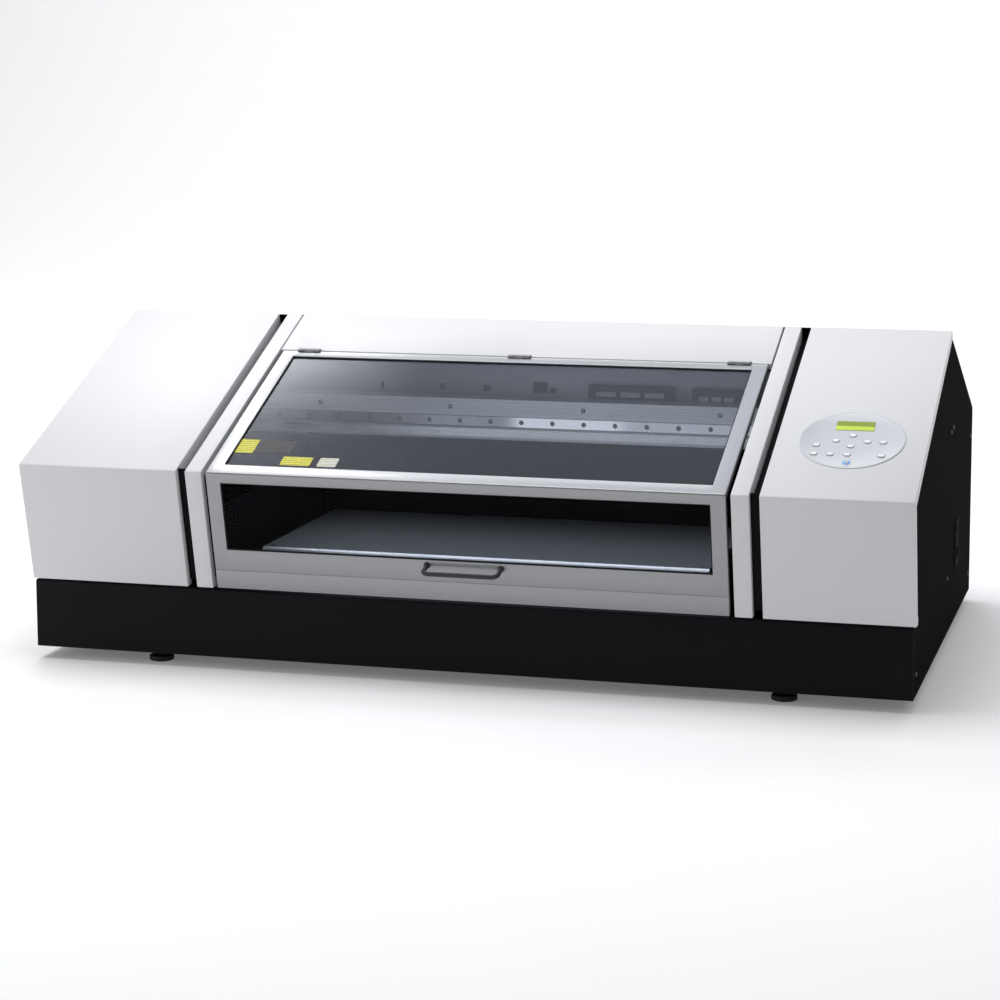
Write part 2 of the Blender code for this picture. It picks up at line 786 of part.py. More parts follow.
def print_carriage():
    """The carriage body and its bearing on the rail, the heads and a curing lamp on each side."""
    front = FRONT_Y + 0.395
    back = FRONT_Y + 0.470
    rail_front = FRONT_Y + BEAM_FRONT - GAP - RAIL_DEPTH
    body = block(
        "carriage",
        (CARRIAGE_X - CARRIAGE_HALF, CARRIAGE_X + CARRIAGE_HALF),
        (front, back),
        (CARRIAGE_BOTTOM, CARRIAGE_TOP),
    )
    bearing = block(
        "carriage_bearing",
        (CARRIAGE_X - 0.035, CARRIAGE_X + 0.035),
        (back - 0.002, FRONT_Y + BEAM_FRONT - 0.0015),
        (0.3400, 0.3795),
    )
    channel = block(
        "bearing_channel",
        (CARRIAGE_X - 0.05, CARRIAGE_X + 0.05),
        (rail_front - 0.0008, FRONT_Y + BEAM_FRONT + 0.01),
        (RAIL_BOTTOM - 0.0007, RAIL_BOTTOM + RAIL_HEIGHT + 0.0007),
    )
    fuse(body, bearing)
    cut(body, channel)
    paint(body, "grey_plastic")
    head = block(
        "print_head",
        (CARRIAGE_X - 0.055, CARRIAGE_X + 0.055),
        (front + 0.010, back - 0.010),
        (HEAD_Z, CARRIAGE_BOTTOM - GAP),
    )
    paint(head, "dark_steel")
    pieces = [body, head]
    for name, side in (("uv_lamp_left", -1), ("uv_lamp_right", 1)):
        inner = CARRIAGE_X + side * (CARRIAGE_HALF + GAP)
        outer = CARRIAGE_X + side * (CARRIAGE_HALF + 0.046)
        lamp = block(name, sorted((inner, outer)), (front + 0.005, back - 0.005), (0.315, 0.430))
        pieces.append(paint(lamp, "black_plastic"))
    pivot("carriage_slide", Matrix.Translation((CARRIAGE_X, rail_front, RAIL_BOTTOM)), pieces)


def cap_station():
    """The maintenance station under the parked carriage, with two cap pads and a wiper blade."""
    front = FRONT_Y + 0.400
    back = FRONT_Y + 0.466
    station = block(
        "cap_station",
        (CARRIAGE_X - 0.070, CARRIAGE_X + 0.070),
        (front, back),
        (FLOOR_Z + GAP, 0.290),
    )
    for index, x in enumerate((CARRIAGE_X - 0.028, CARRIAGE_X + 0.028)):
        pad = block(
            f"cap_pad_{index}",
            (x - 0.020, x + 0.020),
            (front + 0.010, back - 0.010),
            (0.285, HEAD_Z - 0.0025),
        )
        fuse(station, pad)
    wiper = block(
        "wiper",
        (CARRIAGE_X - 0.066, CARRIAGE_X - 0.063),
        (front + 0.006, back - 0.006),
        (0.285, HEAD_Z - 0.0015),
    )
    return paint(fuse(station, wiper), "black_plastic")


def ink_supply():
    """The closed ink unit under the left cover, with a row of cartridge bays on its face."""
    first = FRONT_Y + 0.100
    length = INK_BAYS * INK_PITCH
    supply = block("ink_supply", (-0.740, -0.600), (first, first + length), (FLOOR_Z + GAP, 0.230))
    for index in range(INK_BAYS):
        y = first + (index + 0.5) * INK_PITCH
        bay = block(f"ink_bay_{index}", (-0.757, -0.738), (y - 0.012, y + 0.012), (0.060, 0.210))
        fuse(supply, bay)
    return paint(supply, "black_plastic")


def table_rail(name, side):
    """A rail on the floor pan along which the table travels."""
    x = BAY_X + side * TABLE_RAIL_X
    half = TABLE_RAIL_WIDTH / 2
    bottom = FLOOR_Z + GAP
    rail = block(
        name,
        (x - half, x + half),
        (FRONT_Y + 0.050, FRONT_Y + 0.895),
        (bottom, bottom + TABLE_RAIL_HEIGHT),
    )
    return paint(rail, "bright_steel")


def table_saddle():
    """The plate that travels on the rails, with four bearing blocks."""
    saddle = block(
        "table_saddle",
        (BAY_X - SADDLE_HALF, BAY_X + SADDLE_HALF),
        (TABLE_MIDDLE_Y - 0.150, TABLE_MIDDLE_Y + 0.150),
        (SADDLE_Z, SADDLE_Z + SADDLE_THICKNESS),
    )
    rail_top = FLOOR_Z + GAP + TABLE_RAIL_HEIGHT
    for side in (-1, 1):
        x = BAY_X + side * TABLE_RAIL_X
        for end in (-1, 1):
            y = TABLE_MIDDLE_Y + end * 0.105
            label = f"{side}_{end}"
            bearing = block(
                f"saddle_bearing_{label}",
                (x - 0.024, x + 0.024),
                (y - 0.03, y + 0.03),
                (0.030, SADDLE_Z + 0.001),
            )
            channel = block(
                f"saddle_channel_{label}",
                (x - TABLE_RAIL_WIDTH / 2 - 0.0005, x + TABLE_RAIL_WIDTH / 2 + 0.0005),
                (y - 0.05, y + 0.05),
                (0.02, rail_top + 0.0005),
            )
            fuse(saddle, bearing)
            cut(saddle, channel)
    paint(saddle, "aluminium")
    pivot("table_travel", Matrix.Translation((BAY_X, TABLE_MIDDLE_Y, SADDLE_Z)), [saddle])


def table_top():
    """The flat bed, with a hanging bracket and lift nut on each side."""
    underside = TABLE_TOP_Z - TABLE_THICKNESS
    table = block(
        "table_top",
        (BAY_X - TABLE_HALF, BAY_X + TABLE_HALF),
        (FRONT_Y + TABLE_FRONT, FRONT_Y + TABLE_BACK),
        (underside, TABLE_TOP_Z),
    )
    nut_bottom = SADDLE_Z + SADDLE_THICKNESS + 0.004
    for index, side in enumerate((-1, 1)):
        x = BAY_X + side * LIFT_X
        bracket = block(
            f"table_bracket_{index}",
            sorted((x + side * 0.026, x + side * 0.034)),
            (TABLE_MIDDLE_Y - 0.06, TABLE_MIDDLE_Y + 0.06),
            (nut_bottom, underside + 0.001),
        )
        nut = block(
            f"table_nut_{index}",
            sorted((x - side * 0.020, x + side * 0.027)),
            (TABLE_MIDDLE_Y - 0.022, TABLE_MIDDLE_Y + 0.022),
            (nut_bottom + 0.0005, nut_bottom + 0.018),
        )
        bore_centre = (x, TABLE_MIDDLE_Y, nut_bottom)
        bore = cylinder(f"table_bore_{index}", bore_centre, LIFT_SCREW_RADIUS + 0.0008, 0.08)
        fuse(table, bracket)
        fuse(table, nut)
        cut(table, bore)
    paint(smooth(table), "aluminium")
    pivot("table_lift", Matrix.Translation((BAY_X, TABLE_MIDDLE_Y, TABLE_TOP_Z)), [table])


def lift_screw(name, side):
    """A vertical lead screw with its collar, which turns in the saddle."""
    x = BAY_X + side * LIFT_X
    bottom = SADDLE_Z + SADDLE_THICKNESS + GAP
    length = LIFT_SCREW_TOP - bottom
    centre = (x, TABLE_MIDDLE_Y, bottom + length / 2)
    screw = cylinder(name, centre, LIFT_SCREW_RADIUS, length)
    collar = cylinder(f"{name}_collar", (x, TABLE_MIDDLE_Y, bottom + 0.001), 0.012, 0.002)
    fuse(screw, collar)
    paint(smooth(screw), "bright_steel")
    pivot(f"{name}_axis", Matrix.Translation((x, TABLE_MIDDLE_Y, bottom)), [screw])


def operator_panel():
    """The round panel with a pocket for the display and a well for each key."""
    centre = SLOPE @ Matrix.Translation((PANEL_X, PANEL_S, 0.0))
    middle = (0.0, 0.0, (PANEL_PROUD - PANEL_THICKNESS) / 2)
    height = PANEL_PROUD + PANEL_THICKNESS
    panel = cylinder("control_panel", middle, PANEL_RADIUS, height, segments=64, place=centre)
    display_place = centre @ Matrix.Translation((0.0, DISPLAY_S, 0.0))
    pocket_size = [side + 0.0008 for side in DISPLAY_SIZE]
    cut(panel, rounded_block("display_pocket", pocket_size, 0.002, -0.0027, CLEAR, display_place))
    display = rounded_block("display", DISPLAY_SIZE, 0.0018, -0.0024, 0.0006, display_place)
    paint(display, "display_glass")
    floor = -KEY_DEPTH - KEY_TRAVEL - 0.0005
    for name, (x, s) in KEYS.items():
        place = centre @ Matrix.Translation((x, s, 0.0))
        well = [side + 0.0008 for side in KEY_SIZE]
        cut(panel, rounded_block(f"{name}_well", well, 0.0019, floor, CLEAR, place))
        key = rounded_block(name, KEY_SIZE, 0.0016, -KEY_DEPTH, KEY_PROUD, place)
        paint(key, "white_plastic")
        pivot(f"{name}_travel", place, [key])
    place = centre @ Matrix.Translation((*POWER_KEY, 0.0))
    well_centre = (0.0, 0.0, (floor + CLEAR) / 2)
    well_radius = POWER_KEY_RADIUS + 0.0004
    cut(panel, cylinder("key_power_well", well_centre, well_radius, CLEAR - floor, place=place))
    key_centre = (0.0, 0.0, (KEY_PROUD - KEY_DEPTH) / 2)
    key = cylinder("key_power", key_centre, POWER_KEY_RADIUS, KEY_PROUD + KEY_DEPTH, place=place)
    paint(smooth(key), "grey_plastic")
    pivot("key_power_travel", place, [key])
    paint(smooth(panel), "grey_plastic")


def side_block(name, x, y, z, size):
    """A box in the right side, given by its reach in x and its size about a centre in y and z."""
    wide, tall = size
    return block(name, x, (y - wide / 2, y + wide / 2), (z - tall / 2, z + tall / 2))


def mains_inlet():
    """The appliance inlet with its three pins, under the well of the rocker switch."""
    y = FRONT_Y + INLET_BACK
    face = PANEL_OUT_X + GAP + 0.002
    rim = 0.004
    wide, tall = INLET_SIZE
    inlet = side_block("power_inlet", (0.735, face - 0.001), y, INLET_Z, (wide, tall))
    flange_size = (wide + 2 * rim, tall + 2 * rim)
    fuse(inlet, side_block("inlet_flange", (PANEL_OUT_X + GAP, face), y, INLET_Z, flange_size))
    recess_reach = (face - SOCKET_DEPTH, face + CLEAR)
    well_reach = (face - 0.014, face + CLEAR)
    cut(inlet, side_block("socket_recess", recess_reach, y, SOCKET_Z, SOCKET_SIZE))
    cut(inlet, side_block("switch_well", well_reach, y, SWITCH_Z, SWITCH_WELL))
    for index, (across, up) in enumerate(((-0.007, 0.002), (0.0, -0.0035), (0.007, 0.002))):
        pin = block(
            f"inlet_pin_{index}",
            (face - SOCKET_DEPTH - 0.002, face - 0.006),
            (y + across - 0.001, y + across + 0.001),
            (SOCKET_Z + up - 0.002, SOCKET_Z + up + 0.002),
        )
        fuse(inlet, pin)
    return paint(inlet, "black_plastic")


def power_switch():
    """The rocker, a shallow V that tips about its middle and rests on its upper half."""
    y = FRONT_Y + INLET_BACK
    tip, dip, root, half_tip, half_root = 0.0030, 0.0016, -0.0060, 0.0102, 0.0070
    profile = [(tip, -half_tip), (dip, 0.0), (tip, half_tip), (root, half_root), (root, -half_root)]
    outline = [(out, -SWITCH_WIDTH / 2, up) for out, up in profile]
    place = Matrix.Translation((SWITCH_PIVOT_X, y, SWITCH_Z)) @ Matrix.Rotation(-SWITCH_TILT, 4, "Y")
    switch = extruded("power_switch", outline, (0, SWITCH_WIDTH, 0), place)
    return paint(switch, "black_plastic")


def feet():
    """Four levelling feet under the floor pan."""
    rows = (("front", FRONT_Y + FOOT_FRONT), ("rear", REAR_Y - FOOT_FRONT))
    for row, y in rows:
        for column, x in (("left", -FOOT_X), ("right", FOOT_X)):
            name = f"foot_{row}_{column}"
            foot = cylinder(name, (x, y, FOOT_HEIGHT / 2), FOOT_RADIUS, FOOT_HEIGHT, segments=32)
            stem_bottom = FOOT_HEIGHT / 2
            stem_top = BASE_BOTTOM - GAP
            middle = (stem_bottom + stem_top) / 2
            length = stem_top - stem_bottom
            stem = cylinder(f"{name}_stem", (x, y, middle), STEM_RADIUS, length, segments=6)
            fuse(foot, stem)
            paint(smooth(foot), "black_plastic")


def build():
    clear_scene()
    base_tray()
    base_apron()
    side_panel("side_panel_left", -1)
    side_panel("side_panel_right", 1)
    rear_panel()
    rear_cover()
    side_covers()
    pillar("left_pillar", -1)
    pillar("right_pillar", 1)
    hood()
    cover = [
        front_cover(),
        window("slope_window", SLOPE, SLOPE_WINDOW),
        window("front_window", FRONTAL, FRONT_WINDOW),
        cover_handle(),
    ]
    for label, x in zip(("left", "middle", "right"), hinge_positions()):
        hinge_bracket(f"hinge_bracket_{label}", x)
        cover.append(hinge_leaf(f"hinge_leaf_{label}", x))
    pivot("front_cover_hinge", SLOPE @ Matrix.Translation((BAY_X, HINGE_S, HINGE_N)), cover)
    guide_beam()
    guide_rail()
    drive_belt()
    pulley("drive_pulley", 1)
    pulley("idler_pulley", -1)
    carriage_motor()
    beam_post("beam_post_left", -1)
    beam_post("beam_post_right", 1)
    print_carriage()
    cap_station()
    ink_supply()
    table_rail("table_rail_left", -1)
    table_rail("table_rail_right", 1)
    table_saddle()
    table_top()
    lift_screw("lift_screw_left", -1)
    lift_screw("lift_screw_right", 1)
    operator_panel()
    mains_inlet()
    power_switch()
    feet()


build()
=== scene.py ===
import json
import math

import bmesh
import bpy
import numpy as np
from mathutils import Matrix, Vector


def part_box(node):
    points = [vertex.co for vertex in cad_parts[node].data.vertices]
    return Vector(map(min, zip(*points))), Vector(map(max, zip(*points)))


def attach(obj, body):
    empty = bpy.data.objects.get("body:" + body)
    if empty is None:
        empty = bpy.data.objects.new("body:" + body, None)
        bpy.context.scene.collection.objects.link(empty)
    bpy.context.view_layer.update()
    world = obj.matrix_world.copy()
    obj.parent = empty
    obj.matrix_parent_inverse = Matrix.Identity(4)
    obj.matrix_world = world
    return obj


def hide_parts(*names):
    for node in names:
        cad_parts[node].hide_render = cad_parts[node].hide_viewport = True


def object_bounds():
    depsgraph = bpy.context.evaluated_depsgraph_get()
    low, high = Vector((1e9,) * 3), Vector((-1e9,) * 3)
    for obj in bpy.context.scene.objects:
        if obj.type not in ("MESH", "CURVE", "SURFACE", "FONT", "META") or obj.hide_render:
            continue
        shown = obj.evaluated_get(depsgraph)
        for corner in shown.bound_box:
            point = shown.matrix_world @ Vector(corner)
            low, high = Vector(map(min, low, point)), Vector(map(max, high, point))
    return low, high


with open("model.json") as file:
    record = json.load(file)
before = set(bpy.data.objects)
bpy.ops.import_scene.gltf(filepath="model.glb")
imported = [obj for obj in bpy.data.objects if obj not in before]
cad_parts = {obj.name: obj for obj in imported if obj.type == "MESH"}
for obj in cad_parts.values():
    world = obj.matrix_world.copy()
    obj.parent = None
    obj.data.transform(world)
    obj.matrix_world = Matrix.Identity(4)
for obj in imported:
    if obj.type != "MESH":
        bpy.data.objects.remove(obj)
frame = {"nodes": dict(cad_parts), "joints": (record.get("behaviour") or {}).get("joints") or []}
cad_box = [list(corner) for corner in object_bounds()]

# ----------------------------------------
# The base. A folded floor pan carries everything. A black apron closes its front, gable-shaped panels
# close its sides and a slotted panel its back. All are sheet steel with a fine black powder coat.


class Amount:
    """A number that varies over a surface. A sum with it adds the Math nodes that work it out."""

    def __init__(self, paint, socket):
        self.paint = paint
        self.socket = socket

    def joined(self, operation, first, second):
        node = self.paint.node("ShaderNodeMath", {"operation": operation}, {0: first, 1: second})
        return Amount(self.paint, node.outputs[0])

    def operator(operation, swapped=False):
        """An operator that adds one Math node, its two values swapped for a reflected form."""
        if swapped:
            return lambda self, other: self.joined(operation, other, self)
        return lambda self, other: self.joined(operation, self, other)

    __add__ = __radd__ = operator("ADD")
    __mul__ = __rmul__ = operator("MULTIPLY")
    __sub__ = operator("SUBTRACT")
    __rsub__ = operator("SUBTRACT", swapped=True)
    __mod__ = operator("FLOORED_MODULO")
    __gt__ = operator("GREATER_THAN")
    __lt__ = operator("LESS_THAN")


class Paint:
    """A material in the making: its Principled shader and the nodes that feed it."""

    def __init__(self, name, constants):
        self.material = bpy.data.materials.new(name)
        self.material.use_nodes = True
        self.tree = self.material.node_tree
        self.shader = self.tree.nodes["Principled BSDF"]
        self.feed(self.shader, constants)
        self.place = self.node("ShaderNodeTexCoord").outputs["Object"]

    def feed(self, node, sockets):
        """Sets each socket to a value, or links it to another node's result."""
        for name, value in sockets.items():
            if isinstance(value, Amount):
                value = value.socket
            if isinstance(value, bpy.types.NodeSocket):
                self.tree.links.new(value, node.inputs[name])
            else:
                node.inputs[name].default_value = value

    def node(self, kind, settings=None, sockets=None):
        made = self.tree.nodes.new(kind)
        for name, value in (settings or {}).items():
            setattr(made, name, value)
        self.feed(made, sockets or {})
        return made

    def noise(self, scale, detail=2.0, stretch=(1.0, 1.0, 1.0)):
        """Soft noise from 0 to 1, with this many grains to the metre before it is stretched."""
        mapped = self.node("ShaderNodeMapping", None, {"Vector": self.place, "Scale": stretch})
        sockets = {"Vector": mapped.outputs[0], "Scale": scale, "Detail": detail}
        return Amount(self, self.node("ShaderNodeTexNoise", None, sockets).outputs["Fac"])

    def along(self, axis):
        split = self.node("ShaderNodeSeparateXYZ", None, {0: self.place})
        return Amount(self, split.outputs[axis])

    def blend(self, amount, first, second):
        """The first colour where the amount is 0, and the second where it is 1."""
        settings = {"data_type": "RGBA"}
        node = self.node("ShaderNodeMix", settings, {0: amount, 6: first, 7: second})
        return node.outputs[2]

    def relief(self, height, depth, strength=1.0):
        """A normal roughened by a height, whose full swing is this many metres deep."""
        sockets = {"Height": height, "Distance": depth, "Strength": strength}
        return self.node("ShaderNodeBump", None, sockets).outputs["Normal"]

    def finish(self, colour, roughness=None, normal=None, lit=False):
        """Feeds the shader what varies over the surface. Where it is lit, the colour glows too."""
        sockets = {"Base Color": colour, "Roughness": roughness, "Normal": normal}
        sockets["Emission Color"] = colour if lit else None
        self.feed(self.shader, {name: fed for name, fed in sockets.items() if fed is not None})
        return self.material


def shade(colour, factor):
    """The colour made lighter or darker, with its alpha."""
    return (*(min(1.0, channel * factor) for channel in colour), 1.0)


def powder_coat(name, colour, grains, roughness, specular, depth):
    """Baked powder: a fine orange peel in relief and gloss, and a slow drift in tone."""
    paint = Paint(name, {"Specular IOR Level": specular})
    peel = paint.noise(grains, 3.0)
    drift = paint.noise(2.5, 1.0)
    tone = paint.blend(drift, shade(colour, 0.96), shade(colour, 1.04))
    gloss = roughness + 0.12 * (peel - 0.5) + 0.06 * (drift - 0.5)
    return paint.finish(tone, gloss, paint.relief(peel, depth))


def dress(material, *nodes):
    """Gives the frame's own nodes this material."""
    for name in nodes:
        for slot in frame["nodes"][name].material_slots:
            slot.material = material


def bent(outline, radii, stations=None, steps=6):
    """Rows along an outline in (y, z), which turns right at each corner round an arc of its radius.

    A row is a point on the outer face, the way in from it, the way in past the bend's centre, the depth
    of that centre and the distance along the outline. On a flat both ways in are the face's normal.
    Round a corner the rows fan about the centre, and past it they run down the corner's mitre.
    Stations are the extra rows of each flat, as (distance from its start, depth sunk).
    """
    outline = np.asarray(outline, float)
    runs = np.diff(outline, axis=0)
    lengths = np.linalg.norm(runs, axis=1)
    runs /= lengths[:, None]
    ways = np.stack([runs[:, 1], -runs[:, 0]], axis=1)
    starts = np.concatenate([[0.0], np.cumsum(lengths)])
    rows = [(outline[0], ways[0], ways[0], 1.0, 0.0)]
    for index, (run, way) in enumerate(zip(runs, ways)):
        for distance, sunk in (stations or {}).get(index, ()):
            point = outline[index] + run * distance + way * sunk
            rows.append((point, way, way, 1.0, starts[index] + distance))
        if index + 1 == len(runs):
            break
        radius = radii[index]
        mitre = way + ways[index + 1]
        mitre /= mitre @ way
        centre = outline[index + 1] + mitre * radius
        first = math.atan2(way[1], way[0])
        turn = -math.acos(way @ ways[index + 1])
        for angle in first + turn * np.linspace(0.0, 1.0, steps + 1):
            inward = np.array([math.cos(angle), math.sin(angle)])
            rows.append((centre - inward * radius, inward, mitre, radius, starts[index + 1]))
    rows.append((outline[-1], ways[-1], ways[-1], 1.0, starts[-1]))
    return [np.array(column) for column in zip(*rows)]


def hemmed(left, right, depths, radius, breaks=(), steps=4):
    """Columns across a sheet as (x, depth): up one turned-in edge, over the face and down the other."""
    turn = np.linspace(0.0, math.pi / 2, steps + 1)
    rise = np.stack([left + radius - radius * np.cos(turn), radius - radius * np.sin(turn)], axis=1)
    fall = np.stack([left + right - rise[::-1, 0], rise[::-1, 1]], axis=1)
    middle = np.array([(x, 0.0) for x in breaks]).reshape(-1, 2)
    return np.concatenate([[(left, depths[0])], rise, middle, fall, [(right, depths[1])]])


def folded(rows, columns):
    """The grid of a folded sheet: each column's depth is taken along each row's way in."""
    points, inward, mitre, centre_depth, _ = rows
    x = columns[:, 0]
    depth = columns[:, 1]
    near = np.minimum(depth, centre_depth[:, None])[..., None]
    far = np.maximum(depth - centre_depth[:, None], 0.0)[..., None]
    flat = points[:, None] + inward[:, None] * near + mitre[:, None] * far
    across = np.broadcast_to(x[None, :, None], (len(points), len(x), 1))
    return np.concatenate([across, flat], axis=2)


def grid_faces(rows, columns, around=False, caps=False, keep=None):
    """A grid's quads, which face out when the columns run before the rows, anticlockwise.

    around joins the last column to the first, caps closes the first and last rows with one face each,
    and keep drops the quads where it is false.
    """
    index = np.arange(rows * columns).reshape(rows, columns)
    after = np.roll(index, -1, axis=1)
    if not around:
        index = index[:, :-1]
        after = after[:, :-1]
    quads = np.stack([index[:-1], after[:-1], after[1:], index[1:]], axis=-1)
    faces = (quads.reshape(-1, 4) if keep is None else quads[keep]).tolist()
    if caps:
        faces += [index[0, ::-1].tolist(), index[-1].tolist()]
    return faces


def skin(name, points, **choices):
    """A grid of points made into an object, with the choices that grid_faces takes."""
    faces = grid_faces(*points.shape[:2], **choices)
    return meshed(name, points.reshape(-1, 3), faces)


def meshed(name, points, faces):
    """A new object from points and faces, with the points that fall together made one."""
    mesh = bpy.data.meshes.new(name)
    mesh.from_pydata(points.tolist(), [], faces)
    shape = bmesh.new()
    shape.from_mesh(mesh)
    bmesh.ops.remove_doubles(shape, verts=shape.verts, dist=1e-6)
    bmesh.ops.delete(shape, geom=[v for v in shape.verts if not v.link_faces], context="VERTS")
    shape.to_mesh(mesh)
    shape.free()
    piece = bpy.data.objects.new(name, mesh)
    bpy.context.collection.objects.link(piece)
    return piece


def placed(piece, material, body, slot, *nodes):
    """Settles the piece's modifiers, shades it, and gives it its material, body and CAD nodes. The slot
    is not used.
    """
    graph = bpy.context.evaluated_depsgraph_get()
    mesh = bpy.data.meshes.new_from_object(piece.evaluated_get(graph))
    piece.modifiers.clear()
    piece.data = mesh
    mesh.materials.clear()
    mesh.materials.append(material)
    mesh.shade_smooth()
    mesh.set_sharp_from_angle(angle=math.radians(38))
    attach(piece, body)
    if nodes:
        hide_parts(*nodes)


def thick(piece, thickness, edge):
    """Gives a sheet its thickness, inwards, and breaks its edges."""
    wall = piece.modifiers.new("wall", "SOLIDIFY")
    wall.thickness = thickness
    wall.offset = -1.0
    broken = piece.modifiers.new("edges", "BEVEL")
    broken.width = edge
    broken.segments = 2
    broken.limit_method = "ANGLE"
    broken.angle_limit = math.radians(40)
    return piece


black_coat = powder_coat("black_powder_coat", (0.0050, 0.0054, 0.0070), 900.0, 0.46, 0.07, 0.00006)
apron_low, apron_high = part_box("base_apron")
apron_return = 0.018
apron_bends = (0.003, 0.005)
hem_depths = (0.0016, 0.0016)
apron_rows = bent(
    [
        (apron_low.y + apron_return, apron_low.z),
        (apron_low.y, apron_low.z),
        (apron_low.y, apron_high.z),
        (apron_high.y, apron_high.z),
    ],
    apron_bends,
)
apron_grid = folded(apron_rows, hemmed(apron_low.x, apron_high.x, hem_depths, 0.0008))
apron = thick(skin("apron", apron_grid), 0.0012, 0.0003)
placed(apron, black_coat, "chassis", "black_paint", "base_apron")
dress(black_coat, "base_tray")
textured_black = (0.0060, 0.0062, 0.0068)
textured_coat = powder_coat("textured_black_coat", textured_black, 500.0, 0.80, 0.004, 0.00012)
dress(textured_coat, "side_panel_left", "side_panel_right", "rear_panel")


def turned(name, profile, places, axes, sides=24):
    """Turned pieces in one mesh: a profile of (radius, height) spun about each place's axis.

    Each ring is a circle of the profile's radius at its height along the axis, and the ends are closed.
    """
    profile = np.asarray(profile, float)
    places = np.atleast_2d(np.asarray(places, float))
    axis = np.asarray(axes, float) / np.linalg.norm(axes)
    side = np.cross(axis, (0.0, 1.0, 0.0) if abs(axis[1]) < 0.9 else (1.0, 0.0, 0.0))
    side /= np.linalg.norm(side)
    angle = np.linspace(0.0, 2 * math.pi, sides, endpoint=False)
    circle = np.cos(angle)[:, None] * side + np.sin(angle)[:, None] * np.cross(axis, side)
    one = profile[:, 0, None, None] * circle + profile[:, 1, None, None] * axis
    points = places[:, None, None] + one
    one_piece = grid_faces(len(profile), sides, around=True, caps=True)
    firsts = np.arange(len(places)) * len(profile) * sides
    faces = [[corner + first for corner in face] for first in firsts.tolist() for face in one_piece]
    return meshed(name, points.reshape(-1, 3), faces)


def screw_heads(name, places, axis, radius, material, body, slot):
    """Low round heads with a socket in the middle, standing on the surface along the axis."""
    height = radius * 0.55
    profile = [
        (radius, -0.0002),
        (radius, height * 0.55),
        (radius * 0.90, height * 0.85),
        (radius * 0.70, height),
        (radius * 0.50, height),
        (radius * 0.44, height * 0.35),
    ]
    placed(turned(name, profile, places, axis, 12), material, body, slot)


def metal(name, colour, roughness, grain, depth, metallic=1.0):
    """Bare metal with the lines that its last tool left, longest where the stretch is least."""
    paint = Paint(name, {"Metallic": metallic})
    lines = paint.noise(1.0, 4.0, grain)
    cloud = paint.noise(14.0, 2.0)
    tone = paint.blend(lines, shade(colour, 0.90), shade(colour, 1.06))
    gloss = roughness + 0.18 * (lines - 0.5) + 0.10 * (cloud - 0.5)
    return paint.finish(tone, gloss, paint.relief(lines, depth))


black_screw = metal("black_oxide_screw", (0.10, 0.10, 0.11), 0.36, (900.0, 900.0, 900.0), 0.00004, 0.9)
panel_screw = 0.0036
side_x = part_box("side_panel_right")[1].x
side_rows = [(-0.400, 0.060), (0.060, 0.126), (0.440, 0.060)]
side_rows += [(0.088, 0.388), (0.122, 0.392), (0.440, 0.330)]
for side, label in ((-1, "left"), (1, "right")):
    spots = [(side * side_x, y, z) for y, z in side_rows]
    out = (side, 0.0, 0.0)
    screw_heads(f"side_screws_{label}", spots, out, panel_screw, black_screw, "chassis", "black_paint")
back_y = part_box("rear_panel")[1].y
back_screw_x = np.linspace(-0.74, 0.74, 6)
back_spots = [(x, back_y, z) for x in back_screw_x for z in (0.04, 0.358)]
flush_head = [(0.0036, -0.0002), (0.0036, 0.0001), (0.0031, 0.0002), (0.0017, 0.0002), (0.0015, 0.0)]
rear_screws = turned("rear_screws", flush_head, back_spots, (0, 1, 0), 12)
placed(rear_screws, black_screw, "chassis", "black_paint")

rubber_foot = powder_coat("moulded_rubber", (0.016, 0.016, 0.017), 1500.0, 0.62, 0.3, 0.00008)
for row in ("front", "rear"):
    for column in ("left", "right"):
        low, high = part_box(f"foot_{row}_{column}")
        middle = (low + high) / 2
        radius = (high.x - low.x) / 2
        tall = high.z - low.z
        profile = [
            (radius * 0.90, 0.0),
            (radius * 0.98, 0.0008),
            (radius, 0.0020),
            (radius, 0.0060),
            (radius * 0.96, 0.0085),
            (radius * 0.80, 0.0100),
            (radius * 0.42, 0.0108),
            (radius * 0.42, 0.0135),
            (radius * 0.36, 0.0140),
            (radius * 0.36, tall),
        ]
        foot = turned(f"foot_pad_{row}_{column}", profile, (middle.x, middle.y, low.z), (0, 0, 1), 40)
        placed(foot, rubber_foot, "chassis", "black_plastic", f"foot_{row}_{column}")

# ----------------------------------------
# The bed. Two ground rails on the floor pan carry an aluminium saddle, and two screws in it lift the
# flat bed plate. The plate is milled, clear anodised and scribed with a faint square grid.
ground_steel = metal("ground_steel", (0.84, 0.85, 0.88), 0.28, (3.0, 900.0, 900.0), 0.00002, 0.45)
rail_steel = metal("ground_rail_steel", (0.66, 0.67, 0.69), 0.26, (900.0, 3.0, 900.0), 0.00002)
milled = metal("milled_aluminium", (0.60, 0.61, 0.63), 0.38, (6.0, 420.0, 420.0), 0.00003)
dress(rail_steel, "table_rail_left", "table_rail_right")
dress(milled, "table_saddle")

